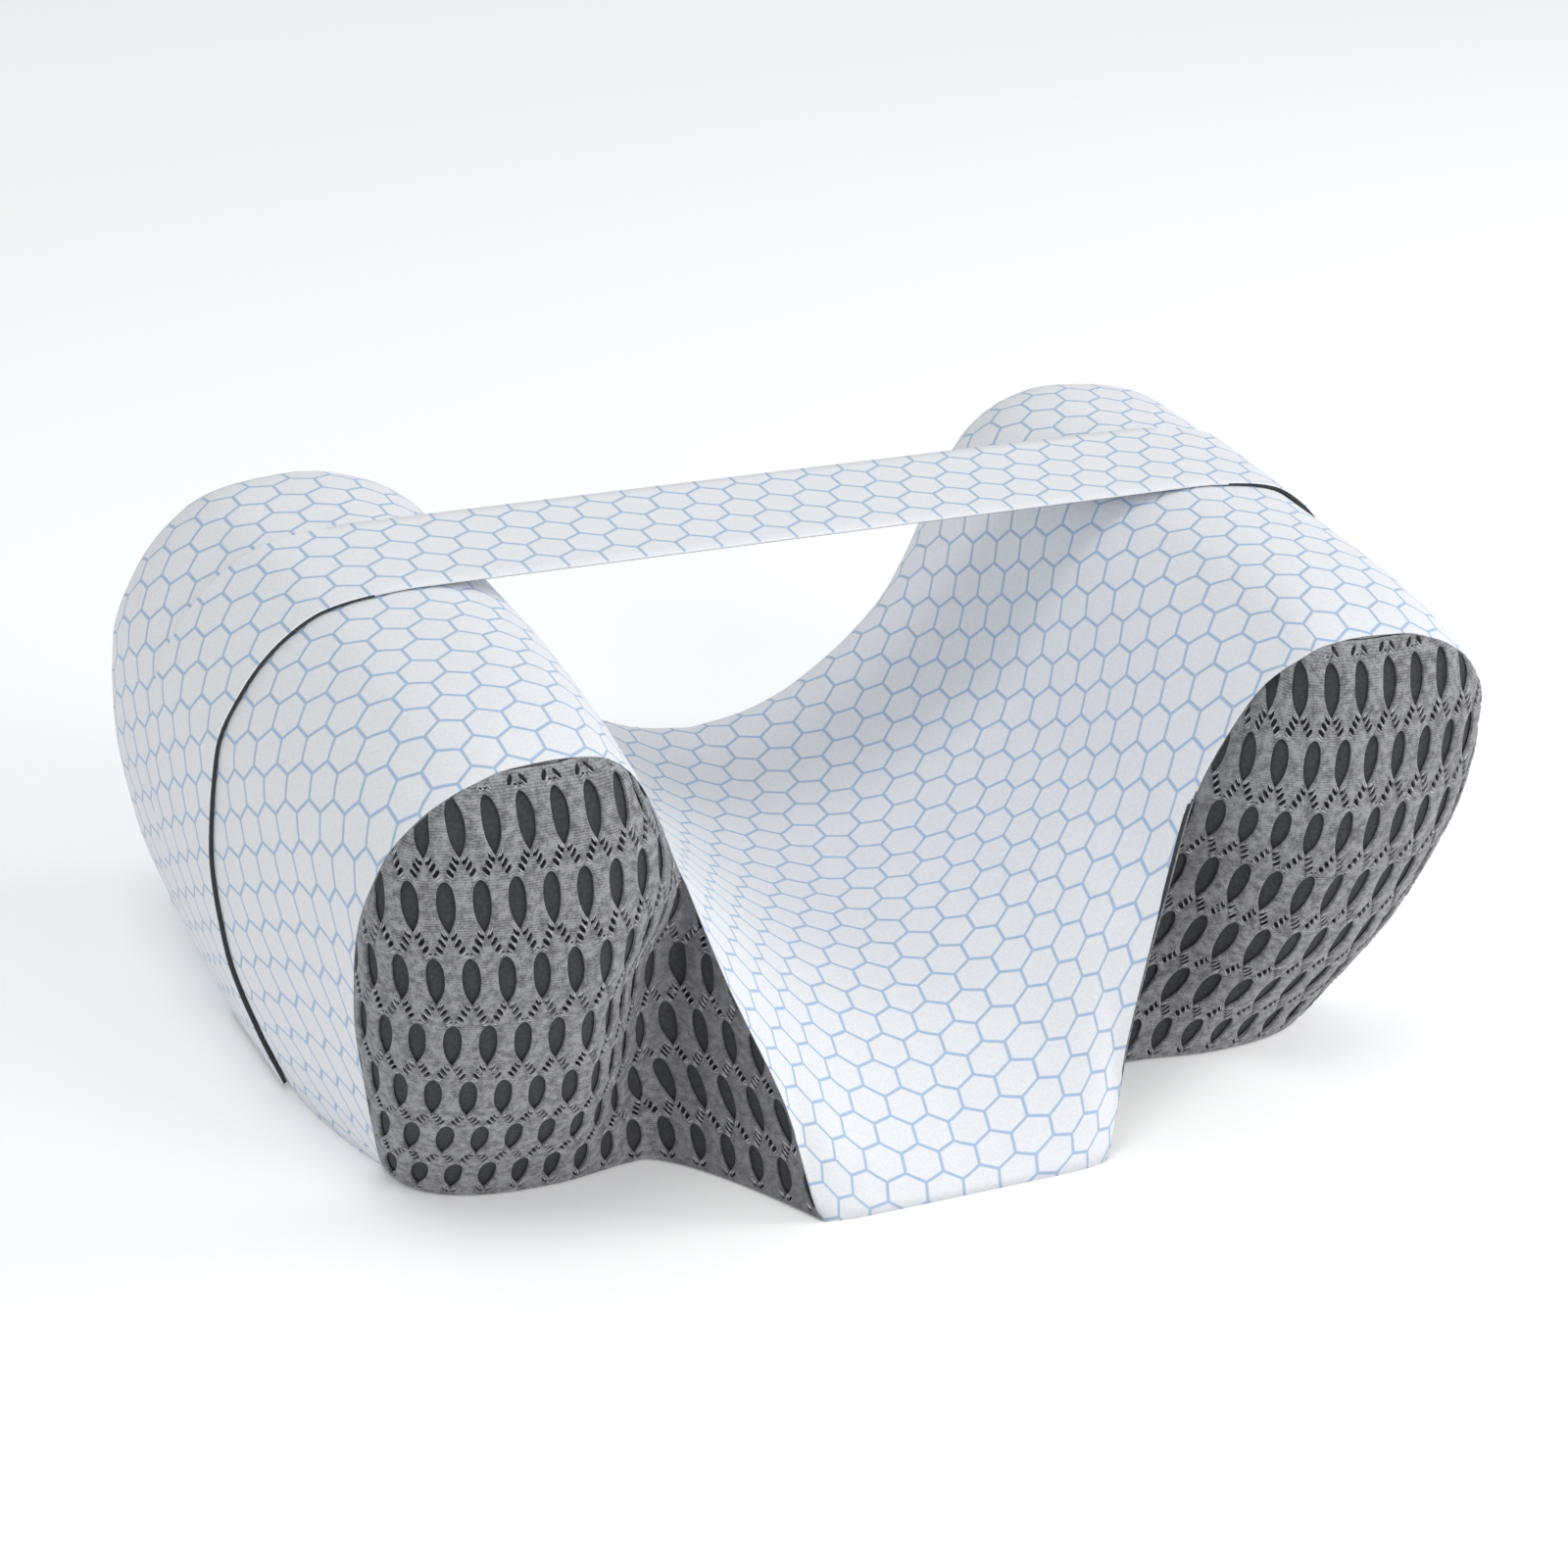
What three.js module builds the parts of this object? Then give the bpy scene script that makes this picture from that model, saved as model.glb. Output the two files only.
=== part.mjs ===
import * as THREE from "three";

// A stomach sleeper pillow: two tall side rolls, a low saddle between them that
// runs out in a tongue at the front, a mesh panel on the front of each roll and
// a flat strap over both rolls. Millimetres, +Z up, the tongue toward -Y.

const SHEET = 2; // thickness of the mesh panels and of the strap
const GAP = 0.4; // air between the pillow and what is sewn over it
const RECESS_DEPTH = GAP + SHEET; // the front faces are let in by this much
const RECESS_INSET = 1.5; // width of the slope between a seam and its recess
const PANEL_INSET = RECESS_INSET + GAP;
const SECTION_Y = 152; // depth at which the body's cross-section is given
const STRAP_FRONT_Y = 157;
const STRAP_BACK_Y = STRAP_FRONT_Y + 60;
const BACK_SQUARENESS = 3; // exponent of the rounded back, 2 being an ellipse
const SIDE_FLARE = 0.045; // widening of the rolls toward the back
const MIDDLE_Y = 164.4; // half of the pillow's depth

// The mesh's holes: how far apart, how wide, and at which heights.
const HOLE_PITCH = 13;
const HOLE_HALF_WIDTH = 3.8;
const HOLE_SHOULDER = 0.48; // where a hole is widest, as a share of its half height
const HOLE_COLUMNS = ["middle", "half"];
const HOLE_ROWS = [
  [12.6, 7.4],
  [37, 8.2],
  [63, 8.8],
  [91, 9.3],
  [121, 9.5],
  [151, 9.3],
  [179, 8],
];
const BAND_MARGIN = 1.4; // mesh above and below a hole within its band
const PANEL_BOTTOM = 1;
const PANEL_TOP = 190.8;
const RECESS_TOP = 193;

// Rails run from the front seam to the back. They are numbered from the middle
// line outwards: 3 is the tongue's corner, 10 a roll's ridge and 19 the edge of
// the base. sectionX and sectionZ are the rail's place at SECTION_Y. share tells
// how far it follows the saddle's profile, shoulderY is where its back rounds
// over, and backX and backY are where it reaches the floor.
const CORNER_RAIL = 3;
const RIDGE_RAIL = 10;
const BASE_RAIL = 19;
const RAIL_COLUMNS = [
  "seamX", "seamY", "seamZ", "sectionX", "sectionZ", "share", "shoulderY", "backX", "backY",
];
const RAILS = [
  [0, 0, 0, 0, 68, 1, 250, 0, 278],
  [22, 0, 0, 22, 71, 1, 250, 22, 279],
  [44, 0, 0, 42, 78, 1, 250, 43, 280],
  [61, 0, 0, 60, 89, 1, 250, 62, 282],
  [74, 16, 45, 76, 102, 1, 249, 80, 285],
  [94, 33, 93, 93, 121, 0.9, 248, 98, 290],
  [112, 44, 140, 108, 151, 0.7, 246, 116, 297],
  [130, 40, 176, 121, 180, 0.4, 246, 131, 307],
  [142, 34, 189, 134, 195, 0.15, 248, 143, 316],
  [150, 33, 193, 149, 202, 0, 252, 154, 323],
  [168, 34, 195, 168, 205, 0, 254, 170, 328],
  [185, 30, 194.5, 187, 203.5, 0, 254, 186, 329],
  [199, 30, 191, 204, 200, 0, 253, 198, 327],
  [216, 31, 181, 220, 190, 0, 251, 206, 322],
  [228, 36, 162, 234, 173, 0, 249, 210, 316],
  [232, 46, 133, 244, 149, 0, 247, 211, 310],
  [228, 58, 94, 246, 112, 0, 244, 211, 304],
  [217, 72, 48, 240, 68, 0, 240, 210, 298],
  [205, 86, 8, 227, 29, 0, 236, 209, 293],
  [201, 92, 0, 214, 0, 0, 232, 208, 289],
];

// The saddle's height along the middle line, by the depth from its front edge.
const SADDLE_COLUMNS = ["depth", "height"];
const SADDLE = [
  [0, 0],
  [4, 9],
  [17, 22],
  [35, 38],
  [58, 53],
  [92, 64],
  [131, 68],
  [171, 69],
  [208, 71],
  [263, 76],
  [330, 79],
];

// The front face by height: the valley beside the tongue, and the nose, which
// is the line that reaches farthest forward.
const FACE_COLUMNS = ["height", "valleyX", "valleyY", "noseX", "noseY"];
const FACE = [
  [0, 107, 63, 146, 59],
  [13, 107, 62, 147, 54],
  [37, 107, 62, 150, 40],
  [63, 106, 58, 154, 27],
  [93, 106, 54, 158, 18],
  [121, 107, 46, 161, 12],
  [151, 117, 42, 164, 15],
  [181, 135, 38, 166, 22],
  [190, 143, 34, 167, 27],
  [195, 167, 34, 168, 33],
];
const ARC_STEPS = 40; // points on each of a face row's three stretches

// How many steps each stretch of a rail is cut into.
const FRONT_STEPS = 9;
const FRONT_CROWDING = 1.7; // draws the steps together near the seam
const STRAP_STEPS = 3;
const SHOULDER_STEPS = 2;
const BACK_STEPS = 7;
const STRAP_ROW = FRONT_STEPS;

const WHITE = new THREE.MeshStandardMaterial({ color: 0xe9ecf3, roughness: 0.85 });
const GREY = new THREE.MeshStandardMaterial({ color: 0x7f8083, roughness: 0.9 });

const { clamp, lerp } = THREE.MathUtils;

// A smooth curve through the given values that never overshoots them.
function smoothCurve(at, values) {
  const last = at.length - 1;
  const rise = (i) => (values[i + 1] - values[i]) / (at[i + 1] - at[i]);
  const slopes = at.map((_, i) => {
    const before = rise(Math.max(i - 1, 0));
    const after = rise(Math.min(i, last - 1));
    return before * after > 0 ? (2 * before * after) / (before + after) : 0;
  });
  return (t) => {
    let i = 0;
    while (i < last - 1 && t > at[i + 1]) i += 1;
    const width = at[i + 1] - at[i];
    const f = clamp((t - at[i]) / width, 0, 1);
    return (
      values[i] * (1 + 2 * f) * (1 - f) ** 2 +
      values[i + 1] * f * f * (3 - 2 * f) +
      slopes[i] * width * f * (1 - f) ** 2 +
      slopes[i + 1] * width * f * f * (f - 1)
    );
  };
}

// A function that gives a table's named columns at any place between its rows.
function tableCurves(columns, rows, at) {
  const curves = columns.map((_, c) => smoothCurve(at, rows.map((row) => row[c])));
  return (t) => Object.fromEntries(columns.map((name, c) => [name, curves[c](t)]));
}

const railAt = tableCurves(RAIL_COLUMNS, RAILS, [...RAILS.keys()]);
const faceAt = tableCurves(FACE_COLUMNS, FACE, FACE.map((row) => row[0]));
const saddleAt = tableCurves(SADDLE_COLUMNS, SADDLE, SADDLE.map((row) => row[0]));

// The rail between base and ridge whose seam has the given height.
function railAtHeight(height, baseRail) {
  let low = baseRail;
  let high = RIDGE_RAIL;
  for (let i = 0; i < 40; i += 1) {
    const middle = (low + high) / 2;
    if (railAt(middle).seamZ < height) low = middle;
    else high = middle;
  }
  return height > 0 ? (low + high) / 2 : baseRail;
}

// A point of the covered top at depth y on a rail.
function bodyPoint(rail, y) {
  const run = clamp((y - rail.seamY) / (SECTION_Y - rail.seamY), 0, 1);
  const roll = clamp(rail.sectionZ / 200, 0, 1) * (1 - rail.share);
  const flank = clamp((rail.sectionX - 150) / 80, 0, 1);
  const side = flank * clamp(rail.sectionZ / 130, 0, 1) ** 1.5;
  const rise = (depth) => saddleAt(depth).height - saddleAt(SECTION_Y).height;
  const drop = rail.seamZ - rail.sectionZ - rail.share * rise(rail.seamY);
  const reach = rail.seamX - rail.sectionX;
  const flare = SIDE_FLARE * side * Math.max(y - SECTION_Y, 0);
  return new THREE.Vector3(
    rail.sectionX + reach * (1 - run) ** 1.6 + flare,
    y,
    Math.max(rail.sectionZ + rail.share * rise(y) + drop * (1 - run) ** (2 + 2.5 * roll), 0),
  );
}

// The rounded back: turn 0 is its shoulder and turn 1 is on the floor.
function backPoint(rail, turn) {
  const shoulder = bodyPoint(rail, rail.shoulderY);
  if (turn === 1) return new THREE.Vector3(rail.backX, rail.backY, 0);
  const angle = (turn * Math.PI) / 2;
  return new THREE.Vector3(
    lerp(rail.backX, shoulder.x, Math.cos(angle)),
    lerp(rail.shoulderY, rail.backY, Math.sin(angle) ** (2 / BACK_SQUARENESS)),
    shoulder.z * Math.cos(angle) ** (2 / BACK_SQUARENESS),
  );
}

// All the points of one rail. The strap's edges fall on two of them.
function railPoints(rail) {
  const points = [];
  const addStretch = (from, to, steps, crowding) => {
    for (let i = 0; i < steps; i += 1) {
      points.push(bodyPoint(rail, lerp(from, to, (i / steps) ** crowding)));
    }
  };
  addStretch(rail.seamY, STRAP_FRONT_Y, FRONT_STEPS, FRONT_CROWDING);
  addStretch(STRAP_FRONT_Y, STRAP_BACK_Y, STRAP_STEPS, 1);
  addStretch(STRAP_BACK_Y, rail.shoulderY, SHOULDER_STEPS, 1);
  for (let i = 0; i <= BACK_STEPS; i += 1) points.push(backPoint(rail, i / BACK_STEPS));
  return points;
}

// A level row of the front face, from the inner seam over the valley and the
// nose to the outer seam. pointAt takes the distance from the nose along it.
function faceRow(height) {
  const inner = railAt(railAtHeight(height, CORNER_RAIL));
  const outer = railAt(railAtHeight(height, BASE_RAIL));
  const face = faceAt(height);
  const valleyX = Math.max(face.valleyX, inner.seamX);
  const valleyY = Math.max(face.valleyY, inner.seamY);
  const line = [];
  for (let i = 0; i <= 3 * ARC_STEPS; i += 1) {
    const t = (i % ARC_STEPS) / ARC_STEPS;
    const turn = (t * Math.PI) / 2;
    if (i < ARC_STEPS) {
      const bend = 1 - (1 - t) ** 1.35;
      line.push([lerp(inner.seamX, valleyX, t), lerp(inner.seamY, valleyY, bend)]);
    } else if (i < 2 * ARC_STEPS) {
      const x = lerp(face.noseX, valleyX, Math.cos(turn) ** 0.9);
      line.push([x, lerp(valleyY, face.noseY, Math.sin(turn) ** 0.9)]);
    } else if (i < 3 * ARC_STEPS) {
      const x = lerp(face.noseX, outer.seamX, Math.sin(turn) ** 0.8);
      line.push([x, lerp(outer.seamY, face.noseY, Math.cos(turn) ** 0.8)]);
    } else {
      line.push([outer.seamX, outer.seamY]);
    }
  }
  const along = [0];
  for (let i = 1; i < line.length; i += 1) {
    const step = Math.hypot(line[i][0] - line[i - 1][0], line[i][1] - line[i - 1][1]);
    along.push(along[i - 1] + step);
  }
  const nose = along[2 * ARC_STEPS];
  const pointAt = (distance) => {
    const target = clamp(distance + nose, 0, along.at(-1));
    let i = 0;
    while (i < line.length - 2 && target > along[i + 1]) i += 1;
    const t = (target - along[i]) / Math.max(along[i + 1] - along[i], 1e-9);
    return new THREE.Vector3(
      lerp(line[i][0], line[i + 1][0], t),
      lerp(line[i][1], line[i + 1][1], t),
      height,
    );
  };
  return { height, start: -nose, end: along.at(-1) - nose, pointAt };
}

// A point of the front face moved into the roll by a depth.
function sunkPoint(height, distance, depth) {
  const probe = 1.5;
  const low = Math.max(height - probe, 0);
  const high = Math.min(height + probe, RECESS_TOP + 1);
  const row = faceRow(height);
  const across = row.pointAt(distance + probe).sub(row.pointAt(distance - probe));
  const up = faceRow(high).pointAt(distance).sub(faceRow(low).pointAt(distance));
  const outward = across.cross(up).normalize();
  if (height === 0) outward.setZ(0).normalize();
  return row.pointAt(distance).addScaledVector(outward, -depth);
}

// The heights of the rows, and which of the bands between them hold holes.
const holeRows = HOLE_ROWS.map((row) => ({ middle: row[0], half: row[1] }));
const bandHeights = holeRows.flatMap((row) => [
  row.middle - row.half - BAND_MARGIN,
  row.middle + row.half + BAND_MARGIN,
]);
const panelHeights = [PANEL_BOTTOM, ...bandHeights, PANEL_TOP];
const recessHeights = [0, ...panelHeights, RECESS_TOP];

// The places of a row's points, half a pitch apart and counted from the nose,
// with the row's own two ends.
function rowPlaces(height, inset) {
  const { start, end } = faceRow(height);
  const half = HOLE_PITCH / 2;
  const first = Math.ceil((start + inset) / half + 0.35);
  const last = Math.floor((end - inset) / half - 0.35);
  const places = [{ column: first - 1, distance: start + inset }];
  for (let c = first; c <= last; c += 1) places.push({ column: c, distance: c * half });
  places.push({ column: last + 1, distance: end - inset });
  return { first, last, places };
}

// Triangles between two chains of corners that run the same way.
function zip(lower, upper, at, triangles) {
  let i = 0;
  let j = 0;
  while (i < lower.length - 1 || j < upper.length - 1) {
    const canLower = i < lower.length - 1;
    const canUpper = j < upper.length - 1;
    const lowerCost = canLower ? at(lower[i + 1]).distanceTo(at(upper[j])) : Infinity;
    const upperCost = canUpper ? at(upper[j + 1]).distanceTo(at(lower[i])) : Infinity;
    if (lowerCost <= upperCost) {
      triangles.push([lower[i], lower[i + 1], upper[j]]);
      i += 1;
    } else {
      triangles.push([lower[i], upper[j + 1], upper[j]]);
      j += 1;
    }
  }
}

// A mesh from corner points and triangles, mirrored where side is -1.
function meshFrom(name, material, points, triangles) {
  const geometry = new THREE.BufferGeometry();
  const flat = points.flatMap((p) => [p.x, p.y - MIDDLE_Y, p.z]);
  geometry.setAttribute("position", new THREE.Float32BufferAttribute(flat, 3));
  geometry.setIndex(triangles.flat());
  geometry.computeVertexNormals();
  const mesh = new THREE.Mesh(geometry, material);
  mesh.name = name;
  return mesh;
}

const mirrored = (p, side) => new THREE.Vector3(p.x * side, p.y, p.z);
const turned = (triangle, side) => (side > 0 ? triangle : [...triangle].reverse());

// The rails of the right half from the middle line outwards, and for each one
// the row of the front face that ends on it, if any.
function halfRails() {
  const rails = [0, 1, 2].map((number) => ({ number, row: -1 }));
  recessHeights.forEach((height, row) => {
    rails.push({ number: railAtHeight(height, CORNER_RAIL), row });
  });
  for (const number of [RIDGE_RAIL - 0.5, RIDGE_RAIL, RIDGE_RAIL + 0.6]) {
    rails.push({ number, row: -1 });
  }
  [...recessHeights.keys()].reverse().forEach((row) => {
    rails.push({ number: railAtHeight(recessHeights[row], BASE_RAIL), row });
  });
  return rails;
}
const rails = halfRails();
const ridgeIndex = rails.findIndex((rail) => rail.number === RIDGE_RAIL);
const grid = rails.map((rail) => railPoints(railAt(rail.number)));

// The pillow: the covered top, a recess in the front of each roll, a flat base.
function buildCushion() {
  const points = [];
  const triangles = [];
  const add = (point) => points.push(point) - 1;
  const corner = (index) => points[index];
  const columns = [];
  for (let i = rails.length - 1; i > 0; i -= 1) columns.push({ rail: i, side: -1 });
  for (let i = 0; i < rails.length; i += 1) columns.push({ rail: i, side: 1 });
  for (const column of columns) {
    column.ids = grid[column.rail].map((p) => add(mirrored(p, column.side)));
  }
  for (let c = 0; c < columns.length - 1; c += 1) {
    const left = columns[c].ids;
    const right = columns[c + 1].ids;
    for (let v = 0; v < left.length - 1; v += 1) {
      triangles.push([left[v], right[v], right[v + 1]]);
      triangles.push([left[v], right[v + 1], left[v + 1]]);
    }
  }
  const bases = {};
  for (const side of [-1, 1]) {
    const half = columns.filter((column) => column.side === side || column.rail === 0);
    if (side < 0) half.reverse();
    const seam = half.map((column) => column.ids[0]);
    const innerSeam = (row) => seam[rails.findIndex((rail) => rail.row === row)];
    const outerSeam = (row) => seam[rails.findLastIndex((rail) => rail.row === row)];
    const found = [];
    const rows = recessHeights.map((height) =>
      rowPlaces(height, RECESS_INSET).places.map((place) =>
        add(mirrored(sunkPoint(height, place.distance, RECESS_DEPTH), side)),
      ),
    );
    for (let row = 0; row < rows.length - 1; row += 1) {
      zip(rows[row], rows[row + 1], corner, found);
      zip([innerSeam(row), rows[row][0]], [innerSeam(row + 1), rows[row + 1][0]], corner, found);
      zip([rows[row].at(-1), outerSeam(row)], [rows[row + 1].at(-1), outerSeam(row + 1)], corner, found);
    }
    const top = rows.length - 1;
    const capFrom = rails.findIndex((rail) => rail.row === top);
    const capTo = rails.findLastIndex((rail) => rail.row === top);
    const upper = seam.slice(capFrom, capTo + 1);
    zip([innerSeam(top), ...rows[top], outerSeam(top)], upper, corner, found);
    const real = found.filter((t) => new Set(t).size === 3);
    triangles.push(...real.map((triangle) => turned(triangle, side)));
    bases[side] = rows[0];
  }
  const corners = (side) => columns.filter((column) => column.side === side);
  const leftTongue = corners(-1).filter((column) => column.rail <= CORNER_RAIL);
  const rightTongue = corners(1).filter((column) => column.rail <= CORNER_RAIL);
  const base = [
    columns[0].ids[0],
    ...[...bases[-1]].reverse(),
    ...leftTongue.map((column) => column.ids[0]),
    ...rightTongue.map((column) => column.ids[0]),
    ...bases[1],
    ...[...columns].reverse().flatMap((column) => {
      const onFloor = column.rail === rails.length - 1 ? [...column.ids] : [column.ids.at(-1)];
      return column.side > 0 ? onFloor : onFloor.reverse();
    }),
  ];
  const outline = [...new Set(base)];
  const flat = outline.map((id) => new THREE.Vector2(points[id].x, points[id].y));
  for (const [a, b, c] of THREE.ShapeUtils.triangulateShape(flat, [])) {
    triangles.push([outline[c], outline[b], outline[a]]);
  }
  return meshFrom("cushion", WHITE, points, triangles);
}

// One skin of a mesh panel, at a depth below the front face. Both skins of a
// panel have the same corners in the same order.
function panelSkin(depth) {
  const points = [];
  const rows = panelHeights.map((height) => {
    const row = rowPlaces(height, PANEL_INSET);
    const ids = row.places.map(
      (place) => points.push(sunkPoint(height, place.distance, depth)) - 1,
    );
    return { ...row, ids };
  });
  const holes = [];
  const cells = [];
  const triangles = [];
  const corner = (id) => points[id];
  for (let r = 0; r < rows.length - 1; r += 1) {
    const low = rows[r];
    const high = rows[r + 1];
    const lowId = (column) => low.ids[column - low.first + 1];
    const highId = (column) => high.ids[column - high.first + 1];
    const holeRow = r % 2 === 1 && r < rows.length - 2 ? holeRows[(r - 1) / 2] : null;
    const from = Math.max(low.first, high.first);
    const to = Math.min(low.last, high.last);
    const used = new Set();
    if (holeRow) {
      const parity = ((r - 1) / 2) % 2;
      for (let c = from + 1; c < to; c += 1) {
        if (Math.abs(c) % 2 !== parity) continue;
        cells.push({ column: c, rim: holeRim(c) });
        used.add(c - 1);
        used.add(c);
      }
      function holeRim(c) {
        const mix = (x, z) => {
          const side = x < 0 ? c - 1 : c + 1;
          const share = Math.abs(x) / (HOLE_PITCH / 2);
          const height = (z + holeRow.half + BAND_MARGIN) / (2 * (holeRow.half + BAND_MARGIN));
          const bottom = corner(lowId(c)).clone().lerp(corner(lowId(side)), share);
          const top = corner(highId(c)).clone().lerp(corner(highId(side)), share);
          return points.push(bottom.lerp(top, height)) - 1;
        };
        const shoulder = holeRow.half * HOLE_SHOULDER;
        const rim = [
          mix(0, -holeRow.half),
          mix(HOLE_HALF_WIDTH, -shoulder),
          mix(HOLE_HALF_WIDTH, shoulder),
          mix(0, holeRow.half),
          mix(-HOLE_HALF_WIDTH, shoulder),
          mix(-HOLE_HALF_WIDTH, -shoulder),
        ];
        const frame = [lowId(c), lowId(c + 1), highId(c + 1), highId(c), highId(c - 1), lowId(c - 1)];
        for (let k = 0; k < 6; k += 1) {
          const next = (k + 1) % 6;
          triangles.push([frame[k], frame[next], rim[next]]);
          triangles.push([frame[k], rim[next], rim[k]]);
        }
        holes.push(rim);
        return rim;
      }
    }
    for (let c = from; c < to; c += 1) {
      if (used.has(c)) continue;
      triangles.push([lowId(c), lowId(c + 1), highId(c + 1)]);
      triangles.push([lowId(c), highId(c + 1), highId(c)]);
    }
    zip(low.ids.slice(0, from - low.first + 2), high.ids.slice(0, from - high.first + 2), corner, triangles);
    zip(low.ids.slice(to - low.first + 1), high.ids.slice(to - high.first + 1), corner, triangles);
  }
  const edge = [
    ...rows[0].ids,
    ...rows.slice(1, -1).map((row) => row.ids.at(-1)),
    ...[...rows.at(-1).ids].reverse(),
    ...rows.slice(1, -1).reverse().map((row) => row.ids[0]),
  ];
  return { points, triangles, holes, edge };
}

// Two skins with the same corners, joined round their edge and holes.
function sheetMesh(name, material, outer, inner, side) {
  const count = outer.points.length;
  const points = [...outer.points, ...inner.points].map((p) => mirrored(p, side));
  const triangles = [
    ...outer.triangles,
    ...outer.triangles.map(([a, b, c]) => [c + count, b + count, a + count]),
  ];
  const addWall = (loop) => {
    loop.forEach((id, i) => {
      const next = loop[(i + 1) % loop.length];
      triangles.push([next, id, id + count]);
      triangles.push([next, id + count, next + count]);
    });
  };
  addWall(outer.edge);
  outer.holes.forEach((rim) => addWall([...rim].reverse()));
  return meshFrom(name, material, points, triangles.map((triangle) => turned(triangle, side)));
}

// One skin of the strap: up one side of the pillow, level across between the
// two ridges, and down the other side.
function strapSkin(lift) {
  const last = rails.length - 2;
  const offset = (rail, row) => {
    const before = grid[Math.max(rail - 1, ridgeIndex)][row];
    const after = grid[rail + 1][row];
    const across = after.clone().sub(before).setY(0);
    const outward = new THREE.Vector3(-across.z, 0, across.x).normalize();
    if (rail === ridgeIndex) outward.set(0, 0, 1);
    return grid[rail][row].clone().addScaledVector(outward, lift);
  };
  const columns = [];
  for (let rail = last; rail >= ridgeIndex; rail -= 1) columns.push({ rail, side: -1 });
  for (let rail = ridgeIndex; rail <= last; rail += 1) columns.push({ rail, side: 1 });
  const points = [];
  const triangles = [];
  for (const column of columns) {
    column.ids = [];
    for (let k = 0; k <= STRAP_STEPS; k += 1) {
      const point = mirrored(offset(column.rail, STRAP_ROW + k), column.side);
      column.ids.push(points.push(point) - 1);
    }
  }
  for (let c = 0; c < columns.length - 1; c += 1) {
    const left = columns[c].ids;
    const right = columns[c + 1].ids;
    for (let k = 0; k < STRAP_STEPS; k += 1) {
      triangles.push([left[k], right[k], right[k + 1]]);
      triangles.push([left[k], right[k + 1], left[k + 1]]);
    }
  }
  const edge = [
    ...columns.map((column) => column.ids[0]),
    ...columns.at(-1).ids.slice(1),
    ...columns.slice(0, -1).reverse().map((column) => column.ids.at(-1)),
    ...columns[0].ids.slice(1, -1).reverse(),
  ];
  return { points, triangles, holes: [], edge };
}

const pillow = new THREE.Group();
pillow.name = "stomach_sleeper_pillow";
pillow.add(buildCushion());
const outerSkin = panelSkin(RECESS_DEPTH - GAP - SHEET);
const innerSkin = panelSkin(RECESS_DEPTH - GAP);
pillow.add(sheetMesh("mesh_panel_left", GREY, outerSkin, innerSkin, -1));
pillow.add(sheetMesh("mesh_panel_right", GREY, outerSkin, innerSkin, 1));
pillow.add(sheetMesh("strap", WHITE, strapSkin(GAP + SHEET), strapSkin(GAP), 1));

export default pillow;
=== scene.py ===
# %% [markdown]
# # A stomach sleeper pillow
# A foam pillow for sleeping face down: two tall side rolls, a low saddle between
# them that runs out in a tongue, a grey spacer mesh on the front of each roll, and
# a flat band over both. A real cover is cut flat and sewn, and could be made by
# draping cloth in a simulation. Here all the covers are built from the same few
# rails, which are curves along the pillow from its front seam to its back. Built
# from one description, the pieces meet exactly at their seams.

import math

import bpy
import numpy as np
from mathutils import Matrix, Vector
from mathutils.geometry import delaunay_2d_cdt


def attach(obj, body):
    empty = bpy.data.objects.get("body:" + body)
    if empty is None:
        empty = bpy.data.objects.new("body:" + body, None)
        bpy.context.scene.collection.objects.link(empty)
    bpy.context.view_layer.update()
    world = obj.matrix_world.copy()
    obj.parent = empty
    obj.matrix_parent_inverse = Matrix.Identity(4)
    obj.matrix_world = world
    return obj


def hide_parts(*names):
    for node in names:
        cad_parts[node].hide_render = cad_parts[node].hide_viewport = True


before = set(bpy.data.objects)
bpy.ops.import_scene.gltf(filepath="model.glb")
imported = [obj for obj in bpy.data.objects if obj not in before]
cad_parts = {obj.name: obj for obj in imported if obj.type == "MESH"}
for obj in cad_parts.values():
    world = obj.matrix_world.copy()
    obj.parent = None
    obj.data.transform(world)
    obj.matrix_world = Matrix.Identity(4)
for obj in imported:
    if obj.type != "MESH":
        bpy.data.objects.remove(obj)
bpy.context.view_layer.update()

# %% [markdown]
# ## The camera
# The photograph was taken with a long lens from the front left, a little turned.
# A camera could be aimed at a point with a Track To constraint, but that keeps it
# upright. Its axes are given as directions in the pillow's own frame instead, so
# that the picture's slight roll is in them too. Depths here and in the tables below
# are counted in millimetres from the tongue's front edge, and MIDDLE_Y moves them
# to the frame.

# %% Camera
MM = 0.001
MIDDLE_Y = 164.4
CAMERA_PLACE = Vector((-668.0, -1062.3 - MIDDLE_Y, 805.6)) * MM
CAMERA_RIGHT = Vector((0.8947, -0.4405, 0.0738))
CAMERA_UP = Vector((0.1423, 0.4377, 0.8877))
SENSOR_MM = 36.0
FOCAL_PIXELS = 4000.0
PHOTO_PIXELS = 1600.0
CLIP_START = 0.05

camera_data = bpy.data.cameras.new("camera")
camera_data.sensor_width = SENSOR_MM
camera_data.lens = SENSOR_MM * FOCAL_PIXELS / PHOTO_PIXELS
camera_data.clip_start = CLIP_START
camera = bpy.data.objects.new("camera", camera_data)
bpy.context.collection.objects.link(camera)
right = CAMERA_RIGHT.normalized()
back = right.cross(CAMERA_UP).normalized()
up = back.cross(right)
turn = Matrix((right, up, back)).transposed().to_4x4()
camera.matrix_world = Matrix.Translation(CAMERA_PLACE) @ turn
bpy.context.scene.camera = camera
print("lens:", camera_data.lens, "mm")

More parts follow.
